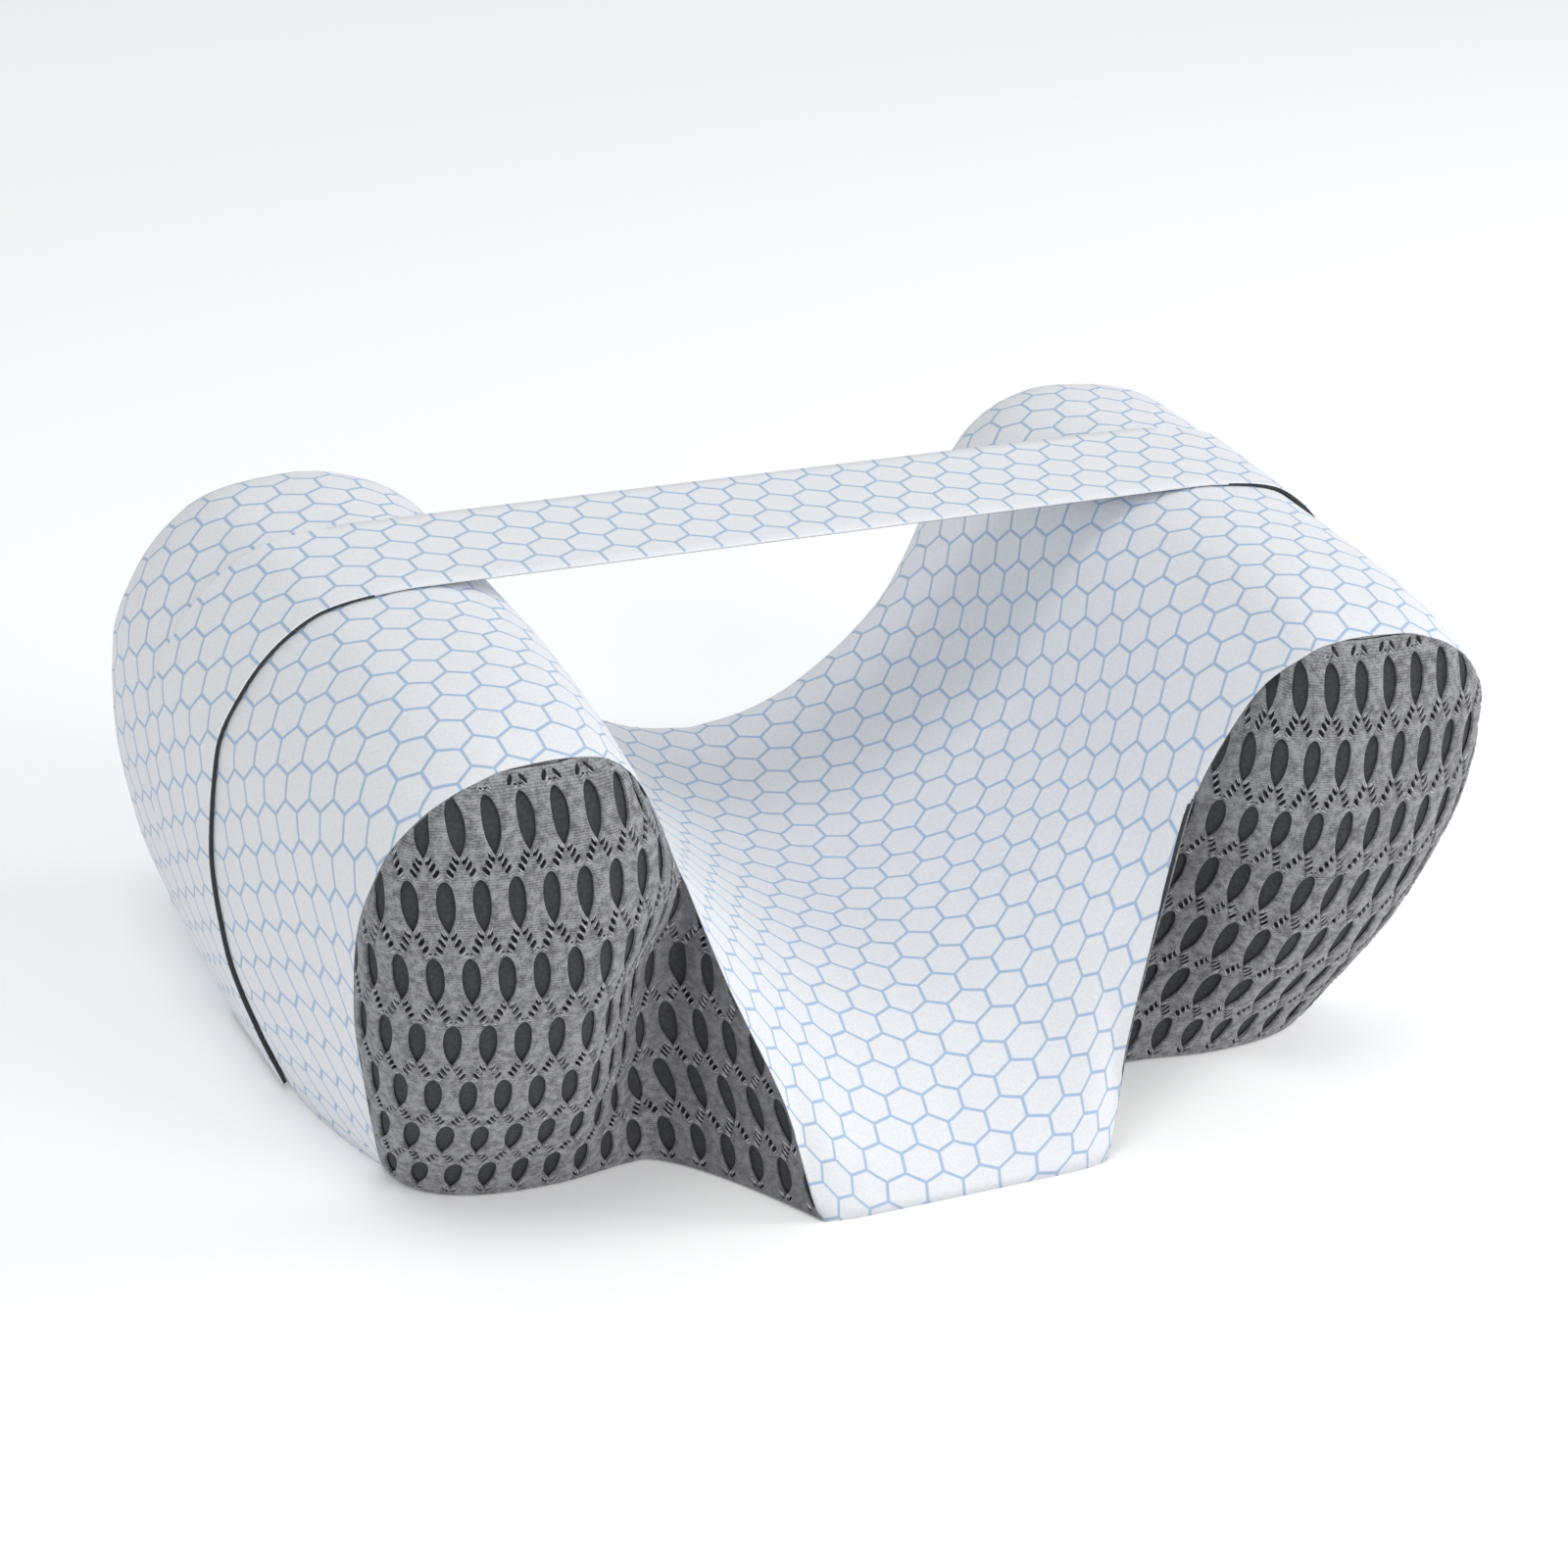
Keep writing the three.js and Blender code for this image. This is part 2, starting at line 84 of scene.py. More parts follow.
# %% [markdown]
# ## The rails
# Each row of the first table is one rail: where it leaves the front seam, where it
# passes the pillow's middle section, how far it follows the saddle's profile, and
# where the back rounds over and reaches the floor. Smooth curves through the
# columns give any rail in between. The second table is the saddle's profile on the
# middle line. The third gives, for each height, the bottom of the valley beside the
# tongue and the foremost point of the roll's nose.

# %% Tables of the form
SECTION_Y = 152.0
STRAP_FRONT_Y, STRAP_BACK_Y = 157.0, 217.0
BACK_SQUARENESS = 3.0
SIDE_FLARE = 0.045
CORNER_RAIL, RIDGE_RAIL, BASE_RAIL = 3, 10, 19
RAILS = np.array(
    [  # seam x, y, z | section x, z | share of the saddle | shoulder y | back x, y
        (0, 0, 0, 0, 68, 1, 250, 0, 278),
        (22, 0, 0, 22, 71, 1, 250, 22, 279),
        (44, 0, 0, 42, 78, 1, 250, 43, 280),
        (60, 2, 0, 60, 89, 1, 250, 62, 282),
        (74, 16, 45, 76, 102, 1, 249, 80, 285),
        (94, 33, 93, 93, 121, 0.9, 248, 98, 290),
        (112, 44, 140, 108, 151, 0.7, 246, 116, 297),
        (130, 40, 176, 121, 180, 0.4, 246, 131, 307),
        (142, 34, 189, 134, 195, 0.15, 248, 143, 316),
        (150, 33, 193, 149, 202, 0, 252, 154, 323),
        (168, 32.5, 195, 168, 205, 0, 254, 170, 328),
        (185, 31, 194.5, 187, 203.5, 0, 254, 186, 329),
        (199, 30, 191, 204, 200, 0, 253, 198, 327),
        (216, 31, 181, 220, 190, 0, 251, 206, 322),
        (228, 36, 162, 234, 173, 0, 249, 210, 316),
        (232, 46, 133, 244, 149, 0, 247, 211, 310),
        (228, 58, 94, 246, 112, 0, 244, 211, 304),
        (217, 72, 48, 240, 68, 0, 240, 210, 298),
        (205, 86, 8, 227, 29, 0, 236, 209, 293),
        (201, 92, 0, 214, 0, 0, 232, 208, 289),
    ],
    float,
)
SADDLE = np.array(
    [  # depth, height on the middle line
        (0, 0),
        (4, 9),
        (17, 22),
        (35, 38),
        (58, 53),
        (92, 64),
        (131, 68),
        (171, 69),
        (208, 71),
        (263, 76),
        (330, 79),
    ],
    float,
)
FACE = np.array(
    [  # height | valley x, y | nose x, y
        (0, 107, 63, 146, 59),
        (13, 107, 62, 147, 54),
        (37, 107, 62, 150, 40),
        (63, 106, 58, 154, 27),
        (93, 106, 54, 158, 18),
        (121, 107, 46, 161, 12),
        (151, 117, 42, 164, 15),
        (181, 135, 38, 166, 22),
        (190, 143, 34, 167, 28),
        (195, 167, 32.3, 168, 32),
    ],
    float,
)


# %% [markdown]
# ## Smooth curves
# A spline through a table's rows swings past them where they turn sharply, which
# would lift the flat base off the floor. In this curve the slope at a row is the
# harmonic mean of the slopes on both sides, and zero at a turning point, so that it
# never overshoots its table.


# %% Smooth curves through a table
def smooth_curve(at, values):
    """A curve through the rows of values at the places at, with no overshoot."""
    at = np.asarray(at, float)
    values = np.asarray(values, float).reshape(len(at), -1)
    rise = np.diff(values, axis=0) / np.diff(at)[:, None]
    before = np.vstack([rise[:1], rise])
    after = np.vstack([rise, rise[-1:]])
    same = before * after > 0
    slopes = np.where(same, 2 * before * after / np.where(same, before + after, 1), 0)

    def curve(t):
        t = np.asarray(t, float)
        i = np.clip(np.searchsorted(at, t, side="right") - 1, 0, len(at) - 2)
        width = (at[i + 1] - at[i])[..., None]
        f = np.clip((t - at[i])[..., None] / width, 0, 1)
        return (
            values[i] * (1 + 2 * f) * (1 - f) ** 2
            + values[i + 1] * f * f * (3 - 2 * f)
            + slopes[i] * width * f * (1 - f) ** 2
            + slopes[i + 1] * width * f * f * (f - 1)
        )

    return curve


rail_curve = smooth_curve(np.arange(len(RAILS)), RAILS)
saddle_curve = smooth_curve(SADDLE[:, 0], SADDLE[:, 1])
face_curve = smooth_curve(FACE[:, 0], FACE[:, 1:])
print("rails:", len(RAILS), "face heights:", len(FACE))

# %% [markdown]
# ## The covered top
# A point of the top cover is named by its rail's number, negative on the left, and
# by how far along the rail it lies: 0 to 1 is the body up to its shoulder, and 1
# to 2 is the back, which rounds over to the floor on a squarish quarter turn.
# Ahead of the section a rail leaves its place there and reaches the seam on a
# power curve. The higher the power, the closer the bend lies to the seam: low on
# the saddle, higher on a roll, which runs level almost to its face, and highest at
# the tongue's lip, which turns down to the floor only at its edge. Behind the
# section the outer sides lean out a little.


# %% Points of the covered top
ROLL_HEIGHT = 200
INWARD_POWER = 1.6
SADDLE_POWER, ROLL_POWER = 2, 2.5
CORNER_LIP, CORNER_LIP_FROM, CORNER_LIP_OVER = 6, 40, 24
FRONT_LIP, FRONT_LIP_OVER = 11, 16
FLARE_FROM_X, FLARE_OVER_X, FLARE_OVER_Z = 150, 80, 130


def saddle_rise(y):
    return (saddle_curve(y) - saddle_curve(SECTION_Y))[..., 0]


def body_xz(rail, y):
    """x and z at depth y of rails, whose table values are on the last axis."""
    seam_x, seam_y, seam_z, section_x, section_z, share = np.moveaxis(rail[..., :6], -1, 0)
    run = np.clip((y - seam_y) / (SECTION_Y - seam_y), 0, 1)
    roll = np.clip(section_z / ROLL_HEIGHT, 0, 1) * (1 - share)
    lip = CORNER_LIP * np.clip((CORNER_LIP_FROM - seam_y) / CORNER_LIP_OVER, 0, 1) * share
    lip = lip + FRONT_LIP * np.clip(1 - seam_y / FRONT_LIP_OVER, 0, 1)
    side = np.clip((section_x - FLARE_FROM_X) / FLARE_OVER_X, 0, 1)
    side = side * np.clip(section_z / FLARE_OVER_Z, 0, 1) ** 1.5
    flare = SIDE_FLARE * side * np.maximum(y - SECTION_Y, 0)
    x = section_x + (seam_x - section_x) * (1 - run) ** INWARD_POWER + flare
    drop = seam_z - section_z - share * saddle_rise(seam_y)
    power = SADDLE_POWER + ROLL_POWER * roll + lip
    z = section_z + share * saddle_rise(y) + drop * (1 - run) ** power
    return x, np.maximum(z, 0)


def top_point(number, along):
    """A point of the top cover, in millimetres from the tongue's front edge."""
    number, along = np.broadcast_arrays(np.asarray(number, float), np.asarray(along, float))
    rail = rail_curve(np.abs(number))
    seam_y, shoulder, back_x, back_y = (rail[..., i] for i in (1, 6, 7, 8))
    y = seam_y + (shoulder - seam_y) * np.clip(along, 0, 1)
    x, z = body_xz(rail, y)
    angle = np.clip(along - 1, 0, 1) * math.pi / 2
    across, down = np.cos(angle), np.clip(np.cos(angle), 0, 1) ** (2 / BACK_SQUARENESS)
    out = np.sin(angle) ** (2 / BACK_SQUARENESS)
    x = back_x + (x - back_x) * across
    y = np.where(along > 1, shoulder + (back_y - shoulder) * out, y)
    z = np.where(along >= 2, 0, z * down)
    return np.stack([np.where(number < 0, -x, x), y, z], -1)


def to_frame(points):
    """Millimetres counted from the tongue's edge, as metres in the frame."""
    return (np.asarray(points, float) - (0, MIDDLE_Y, 0)) * MM


def lengths(points, axis):
    """The running length along one axis of a grid of points, starting at 0."""
    steps = np.linalg.norm(np.diff(points, axis=axis), axis=-1)
    first = np.zeros_like(np.take(steps, [0], axis=axis))
    return np.cumsum(np.concatenate([first, steps], axis=axis), axis=axis)


fine_numbers = np.linspace(0, BASE_RAIL, 951)
fine_rails = rail_curve(fine_numbers)
section_line = fine_rails[:, 3:5]
girth_curve = lengths(section_line, 0)
print("girth from the middle to the base:", round(girth_curve[-1]), "mm")

# %% [markdown]
# ## The front face
# Level rows cross the front of each roll from the inner seam over the valley and
# round the nose to the outer seam. From the valley to the nose a row runs in an
# open S curve at the height of OPEN_BELOW and lower, in a round quarter turn at
# OPEN_ABOVE and higher, and in a mix of both in between. A place on the face is its
# distance along the row, counted from the nose, and its height. The rows are
# worked out once, at close heights, and any place is read between them.

# %% Rows of the front face
FACE_TOP = 195
ROW_HEIGHTS = np.linspace(0, FACE_TOP, 391)
ARC_STEPS = 80
ROW_SAMPLES = 241
OPEN_BELOW, OPEN_ABOVE = 95, 165


def smooth_step(share):
    share = np.clip(share, 0, 1)
    return share * share * (3 - 2 * share)


def numbers_at_height(heights, first, last):
    """The rail between two whole rails whose seam has each height."""
    pick = (fine_numbers >= first) & (fine_numbers <= last)
    numbers, seam_z = fine_numbers[pick], fine_rails[pick, 2]
    if seam_z[0] > seam_z[-1]:
        numbers, seam_z = numbers[::-1], seam_z[::-1]
    return np.interp(heights, seam_z, numbers)


def face_row(height, inner, outer):
    """One row's line in x and y, and its running length."""
    t = np.linspace(0, 1, ARC_STEPS, endpoint=False)
    cos, sin = np.cos(t * math.pi / 2), np.sin(t * math.pi / 2)
    valley_x, valley_y, nose_x, nose_y = face_curve(height)
    valley_x, valley_y = max(valley_x, inner[0]), max(valley_y, inner[1])
    x = [inner[0] + (valley_x - inner[0]) * t]
    y = [inner[1] + (valley_y - inner[1]) * (1 - (1 - t) ** 1.5)]
    open_share = smooth_step((OPEN_ABOVE - height) / (OPEN_ABOVE - OPEN_BELOW))
    flank_x = (1 - t) * open_share + cos**0.9 * (1 - open_share)
    flank_y = (1 - np.cos(t * math.pi)) / 2 * open_share + sin**0.9 * (1 - open_share)
    x += [nose_x - (nose_x - valley_x) * flank_x]
    y += [valley_y + (nose_y - valley_y) * flank_y]
    x += [nose_x + (outer[0] - nose_x) * sin**0.8, [outer[0]]]
    y += [outer[1] + (nose_y - outer[1]) * cos**0.8, [outer[1]]]
    line = np.stack([np.concatenate(x), np.concatenate(y)], -1)
    return line, lengths(line, 0)


def build_rows():
    inner = rail_curve(numbers_at_height(ROW_HEIGHTS, CORNER_RAIL, RIDGE_RAIL))
    outer = rail_curve(numbers_at_height(ROW_HEIGHTS, RIDGE_RAIL, BASE_RAIL))
    starts, ends, rows = [], [], []
    for height, inner_end, outer_end in zip(ROW_HEIGHTS, inner, outer):
        line, along = face_row(height, inner_end, outer_end)
        even = np.linspace(0, along[-1], ROW_SAMPLES)
        rows.append(np.stack([np.interp(even, along, line[:, i]) for i in (0, 1)], -1))
        starts.append(-along[2 * ARC_STEPS])
        ends.append(along[-1] - along[2 * ARC_STEPS])
    return np.array(starts), np.array(ends), np.array(rows)


row_starts, row_ends, row_grid = build_rows()
print("widest row of the face:", round((row_ends - row_starts).max()), "mm")

# %% [markdown]
# Cloth on the face is laid at a small depth under it, straight inward. Toward a
# seam the space between two cloths closes, so pressed gives a depth that shrinks
# to that of the seam's edge, and no cloth pierces the next one.

# %% Places on and under the front face
NORMAL_REACH = 1.5
PRESSED_SLOPE, PRESSED_AT_TOP = 0.5, 0.7


def face_ends(heights):
    """The distances from the nose at which a row starts and ends."""
    heights = np.clip(heights, 0, ROW_HEIGHTS[-1])
    starts = np.interp(heights, ROW_HEIGHTS, row_starts)
    ends = np.interp(heights, ROW_HEIGHTS, row_ends)
    return starts, ends


def face_point(distance, height):
    """A point of the right-hand face."""
    level = np.clip(height / ROW_HEIGHTS[1], 0, len(ROW_HEIGHTS) - 1.001)
    start, end = face_ends(height)
    place = np.clip((distance - start) / (end - start), 0, 1) * (ROW_SAMPLES - 1.001)
    i, j = level.astype(int), place.astype(int)
    f, g = (level - i)[..., None], (place - j)[..., None]
    low = row_grid[i, j] * (1 - g) + row_grid[i, j + 1] * g
    high = row_grid[i + 1, j] * (1 - g) + row_grid[i + 1, j + 1] * g
    return np.concatenate([low * (1 - f) + high * f, np.asarray(height, float)[..., None]], -1)


def face_normal(distance, height):
    low = np.maximum(height - NORMAL_REACH, 0)
    high = np.minimum(height + NORMAL_REACH, FACE_TOP - 0.1)
    before, after = distance - NORMAL_REACH, distance + NORMAL_REACH
    across = face_point(after, height) - face_point(before, height)
    rise = face_point(distance, high) - face_point(distance, low)
    normal = np.cross(across, rise)
    return normal / np.linalg.norm(normal, axis=-1, keepdims=True)


def pressed(distance, height, edge, full):
    """A depth that grows from edge at the seam to full further in."""
    start, end = face_ends(height)
    from_sides = np.minimum(distance - start, end - distance)
    inward = np.minimum(from_sides, (FACE_TOP - height) * PRESSED_AT_TOP)
    return np.clip(edge + PRESSED_SLOPE * inward, edge, full)


def sunk_point(distance, height, depth):
    inward = -face_normal(distance, height)
    return face_point(distance, height) + inward * np.asarray(depth)[..., None]


nose_point = face_point(np.zeros(1), np.full(1, FACE_TOP / 2))[0]
print("nose at half height:", [round(float(v)) for v in nose_point], "mm")

# %% [markdown]
# ## Shader maths
# Patterns on cloth are sums and comparisons of coordinates, which read best as
# plain expressions. Placed by hand, each sum would be a node and two links. This
# small class wraps a socket, so that an expression on it adds the Math nodes. Any
# other node comes from its one method, node.


# %% A socket that can be used in an expression
class Shade:
    def __init__(self, tree, socket):
        self.tree, self.socket = tree, socket

    def node(self, kind, inputs=(), output=0, **settings):
        """A new node of any kind: its settings first, then its values and links."""
        made = self.tree.nodes.new(kind)
        for name, value in settings.items():
            setattr(made, name, value)
        for key, value in dict(inputs).items():
            if isinstance(value, Shade):
                self.tree.links.new(value.socket, made.inputs[key])
            else:
                made.inputs[key].default_value = value
        return Shade(self.tree, made.outputs[output])

    def math(self, operation, *others):
        return self.node("ShaderNodeMath", enumerate((self, *others)), operation=operation)

    def __add__(self, other):
        return self.math("ADD", other)

    def __sub__(self, other):
        return self.math("SUBTRACT", other)

    def __rsub__(self, other):
        return self.node("ShaderNodeMath", enumerate((other, self)), operation="SUBTRACT")

    def __mul__(self, other):
        return self.math("MULTIPLY", other)

    __radd__, __rmul__ = __add__, __mul__

    def soft_step(self, low, high):
        """0 below low, 1 above high, and smooth in between."""
        values = {"Value": self, "From Min": low, "From Max": high}
        return self.node("ShaderNodeMapRange", values, interpolation_type="SMOOTHSTEP")


def new_material(name, **constants):
    """A material with one Principled shader. Its constant inputs are given by name."""
    material = bpy.data.materials.new(name)
    material.use_nodes = True
    tree = material.node_tree
    shader = tree.nodes["Principled BSDF"]
    for key, value in constants.items():
        shader.inputs[key.replace("_", " ")].default_value = value
    return material, Shade(tree, None), shader


def feed(shader, name, value):
    value.tree.links.new(value.socket, shader.inputs[name])


print("a wrapped socket knows:", [name for name in vars(Shade) if name[0] != "_"])

# %% [markdown]
# ## White knit with a honeycomb print
# The cover and the band are a smooth white knit, printed with thin pale blue lines
# in hexagons whose points face the front. A point's hexagon is found with two
# shifted rectangular grids: each gives the nearest of its own centres, and the
# nearer of the two is the hexagon's. The distance to the hexagon's edge then gives
# the line. A picture of the print would blur close up. The pattern is drawn in the
# cloth's own UV map, which is in metres, so that it bends with the cloth. Under the
# print a fine mottle and narrow wales, the upright rows of stitches, give the knit
# its matt look.

# %% Honeycomb knit
HEX_SIDE = 9.15
LINE_HALF = 0.58
LINE_SOFT = 0.45, 1.75
PRINT_DENSITY = 0.9
COVER_HEX_CENTRE, BAND_HEX_CENTRE = (-2.3, -165.3), (-147.6, 188.1)
KNIT_WHITE = (0.83, 0.842, 0.872, 1)
KNIT_SHADE = (0.785, 0.797, 0.83, 1)
PRINT_BLUE = (0.335, 0.49, 0.70, 1)


def honeycomb_knit(name, centre, side):
    material, s, shader = new_material(
        name, Roughness=0.78, Sheen_Weight=0.12, Sheen_Roughness=0.4
    )
    uv = s.node("ShaderNodeUVMap", uv_map="cloth")
    split = s.node("ShaderNodeSeparateXYZ", {0: uv})
    u = split * 1000.0 - centre[0]
    v = Shade(s.tree, split.socket.node.outputs[1]) * 1000.0 - centre[1]
    width, height = side * math.sqrt(3), side * 3

    def offsets(shift):
        x = (u + width * (0.5 + shift)).math("FLOORED_MODULO", width) - width / 2
        y = (v + height * (0.5 + shift)).math("FLOORED_MODULO", height) - height / 2
        return x.math("ABSOLUTE"), y.math("ABSOLUTE")

    (ax, ay), (bx, by) = offsets(0.0), offsets(0.5)
    nearer = (bx * bx + by * by - ax * ax - ay * ay).math("GREATER_THAN", 0.0)
    x = ax * nearer + bx * (1 - nearer)
    y = ay * nearer + by * (1 - nearer)
    reach = x.math("MAXIMUM", x * 0.5 + y * (math.sqrt(3) / 2))
    edge = width / 2 - reach
    line = 1 - edge.soft_step(LINE_HALF * LINE_SOFT[0], LINE_HALF * LINE_SOFT[1])

    place = s.node("ShaderNodeTexCoord", output="Object")
    mottle = s.node("ShaderNodeTexNoise", {"Vector": place, "Scale": 900.0, "Detail": 3.0})
    white = s.node(
        "ShaderNodeMix",
        {0: mottle.soft_step(0.35, 0.65), 6: KNIT_SHADE, 7: KNIT_WHITE},
        output=2,
        data_type="RGBA",
    )
    printed = {0: line * PRINT_DENSITY, 6: white, 7: PRINT_BLUE}
    colour = s.node("ShaderNodeMix", printed, output=2, data_type="RGBA")
    feed(shader, "Base Color", colour)
    wales = s.node("ShaderNodeTexWave", {"Vector": uv, "Scale": 480.0, "Distortion": 2.0})
    height_map = mottle * 0.7 + wales * 0.3 - line * 0.6
    bump = s.node("ShaderNodeBump", {"Height": height_map, "Strength": 0.25, "Distance": 0.0004})
    feed(shader, "Normal", bump)
    return material


cover_knit = honeycomb_knit("white_knit", COVER_HEX_CENTRE, HEX_SIDE)
band_knit = honeycomb_knit("white_band", BAND_HEX_CENTRE, HEX_SIDE)
print("one hexagon is", round(HEX_SIDE * math.sqrt(3), 1), "mm wide")

# %% [markdown]
# ## Plain cloths
# The cloth behind the mesh's holes is a plain charcoal knit, and the base is the plain white cloth
# without the print. The same charcoal also lines the band's inner side and edge strips, where it
# is painted shadow for the gap under the band. A single colour would look like paint, so a fine
# noise moves the colour and the surface.

# %% Charcoal and plain white cloth
CHARCOAL_DARK, CHARCOAL_LIGHT = (0.035, 0.036, 0.038, 1), (0.055, 0.056, 0.059, 1)
WHITE_DARK, WHITE_LIGHT = (0.74, 0.75, 0.78, 1), (0.8, 0.81, 0.84, 1)
WEAVE_SCALE = 700.0


def plain_cloth(name, dark, light):
    material, s, shader = new_material(name, Roughness=0.9)
    place = s.node("ShaderNodeTexCoord", output="Object")
    noise = s.node("ShaderNodeTexNoise", {"Vector": place, "Scale": WEAVE_SCALE, "Detail": 4.0})
    mix = {0: noise.soft_step(0.3, 0.7), 6: dark, 7: light}
    feed(shader, "Base Color", s.node("ShaderNodeMix", mix, output=2, data_type="RGBA"))
    bump = {"Height": noise, "Strength": 0.3, "Distance": 0.0004}
    feed(shader, "Normal", s.node("ShaderNodeBump", bump))
    return material


# Charcoal is the real backing behind the mesh, and painted shadow on the band.
charcoal = plain_cloth("charcoal_backing_and_painted_shadow", CHARCOAL_DARK, CHARCOAL_LIGHT)
plain_white = plain_cloth("plain_white", WHITE_DARK, WHITE_LIGHT)
print("materials:", [m.name for m in (cover_knit, band_knit, charcoal, plain_white)])


# %% [markdown]
# ## Grey mesh cloth
# The mesh is knitted in mid grey yarn. Seen close, it is mottled, with fine courses, the level
# rows of stitches, running across it. The raised yarns beside the holes get a lighter grey of
# their own, a painted highlight for the light they catch. The long cavity under the tongue is
# darker than the studio's light alone makes it, so painted shade darkens the grey toward the
# valley. The first UV coordinate counts from the roll's nose and is negative on the valley's side.

# %% Grey mesh cloth
MESH_DARK, MESH_LIGHT = (0.1, 0.1, 0.107, 1), (0.34, 0.34, 0.355, 1)
# The yarns' grey is lighter than the mesh's: a painted highlight for the light that the raised
# yarns catch.
YARN_DARK, YARN_LIGHT = (0.3, 0.3, 0.31, 1), (0.6, 0.6, 0.62, 1)
# Painted shade: the grey darkens between these distances on the valley's side.
VALLEY_FROM, VALLEY_TO = 0.03, 0.065
VALLEY_PAINTED_SHADE = 0.45


def mesh_cloth(name, dark, light):
    material, s, shader = new_material(name, Roughness=0.72, Sheen_Weight=0.1)
    place = s.node("ShaderNodeTexCoord", output="Object")
    uv = s.node("ShaderNodeUVMap", uv_map="cloth")
    broad = s.node("ShaderNodeTexNoise", {"Vector": place, "Scale": 320.0, "Detail": 3.0})
    fine = s.node("ShaderNodeTexNoise", {"Vector": place, "Scale": 1100.0, "Detail": 2.0})
    courses = s.node(
        "ShaderNodeTexWave", {"Vector": uv, "Scale": 330.0, "Distortion": 3.0}, bands_direction="Y"
    )
    tone = broad * 0.55 + fine * 0.35 + courses * 0.1
    along_row = s.node("ShaderNodeSeparateXYZ", {0: uv})
    # Painted shade, darker toward the valley under the tongue.
    valley = (along_row * -1.0).soft_step(VALLEY_FROM, VALLEY_TO)
    mix = {0: tone.soft_step(0.32, 0.66) * (1 - valley * VALLEY_PAINTED_SHADE), 6: dark, 7: light}
    feed(shader, "Base Color", s.node("ShaderNodeMix", mix, output=2, data_type="RGBA"))
    bump = {"Height": tone, "Strength": 0.5, "Distance": 0.0006}
    feed(shader, "Normal", s.node("ShaderNodeBump", bump))
    return material


grey_mesh = mesh_cloth("grey_mesh", MESH_DARK, MESH_LIGHT)
yarn_painted_highlight = mesh_cloth("yarn_painted_highlight", YARN_DARK, YARN_LIGHT)
print("materials:", [m.name for m in (grey_mesh, yarn_painted_highlight)])

# %% [markdown]
# ## Building meshes
# Each piece is one closed mesh made of plain lists, which gives full say over every
# corner, where modifiers would round or shift them. Faces may have any number of
# corners, each with a material and, where a print follows the cloth, a UV place.
# Two rows of corners with different counts are joined by zip_chains, which always
# takes the shorter of the two next steps.


# %% From lists to an object
def make_piece(name, points, faces, materials, slots=None, uvs=None):
    """A mesh object from places in millimetres, smooth shaded."""
    mesh = bpy.data.meshes.new(name)
    mesh.from_pydata([tuple(p) for p in to_frame(points)], [], faces)
    for material in materials:
        mesh.materials.append(material)
    if slots is not None:
        mesh.polygons.foreach_set("material_index", np.asarray(slots, np.int32))
    if uvs is not None:
        layer = mesh.uv_layers.new(name="cloth")
        corners = np.empty(len(mesh.loops), np.int32)
        mesh.loops.foreach_get("vertex_index", corners)
        layer.data.foreach_set("uv", (np.asarray(uvs)[corners] * MM).ravel())
    mesh.polygons.foreach_set("use_smooth", [True] * len(mesh.polygons))
    mesh.update()
    piece = bpy.data.objects.new(name, mesh)
    bpy.context.collection.objects.link(piece)
    print(name, len(mesh.vertices), "points,", sum(len(f) - 2 for f in faces), "triangles")
    return piece


def zip_chains(lower, upper, points):
    """Triangles between two chains of corners that run the same way."""
    faces, i, j = [], 0, 0
    while i < len(lower) - 1 or j < len(upper) - 1:
        ahead = [math.inf, math.inf]
        if i < len(lower) - 1:
            ahead[0] = np.linalg.norm(points[lower[i + 1]] - points[upper[j]])
        if j < len(upper) - 1:
            ahead[1] = np.linalg.norm(points[upper[j + 1]] - points[lower[i]])
        if ahead[0] <= ahead[1]:
            faces.append((lower[i], lower[i + 1], upper[j]))
            i += 1
        else:
            faces.append((lower[i], upper[j + 1], upper[j]))
            j += 1
    return faces


# %% [markdown]
# ## The cushion
# The cushion is the foam body in its cover. A block could be sculpted or a cage
# subdivided, but a grid of points on the rails meets the seams exactly. The grid
# has a column of points at each height at which the mesh panel's back joins it, and
# its rows lie closer together at the front, where the tongue bends.

# %% Grid of the cushion's top
ROWS_BUNCHED = 1.25
TONGUE_COLUMNS = 15
levels = np.concatenate([np.arange(0, 186, 3.0), [188, 190, 191.6, 193, 194, 194.6]])
inner_numbers = numbers_at_height(levels, CORNER_RAIL, RIDGE_RAIL)
outer_numbers = numbers_at_height(levels, RIDGE_RAIL, BASE_RAIL)
inner_numbers[0], outer_numbers[0] = CORNER_RAIL, BASE_RAIL
tongue_numbers = np.linspace(0, CORNER_RAIL, TONGUE_COLUMNS)[:-1]
ridge_numbers = [9.7, 10, 10.4]
half_numbers = np.concatenate([tongue_numbers, inner_numbers, ridge_numbers, outer_numbers])
half_numbers = np.sort(half_numbers)
numbers = np.concatenate([-half_numbers[:0:-1], half_numbers])
front_steps = np.linspace(0, 1, 61) ** ROWS_BUNCHED
along_steps = np.concatenate([front_steps, 1 + np.linspace(0, 1, 31)[1:]])
top_grid = top_point(numbers[:, None], along_steps[None, :])
top_ids = np.arange(len(numbers) * len(along_steps)).reshape(len(numbers), -1)
print("top of the cushion:", top_ids.shape[0], "by", top_ids.shape[1], "points")

# %% [markdown]
# The print has to lie on the cover as on cloth that was cut and sewn, so its UV map
# is measured on the cover: the girth at the section gives one coordinate and the
# length along the rail the other. An unwrap by Blender would turn and stretch it.
# On the tongue the knit lies slack, so there the print is closer together along the
# rails.

# %% Print on the cover
BODY_SAMPLES, BACK_SAMPLES = 241, 81
SLACK, SLACK_FROM = 0.22, 21


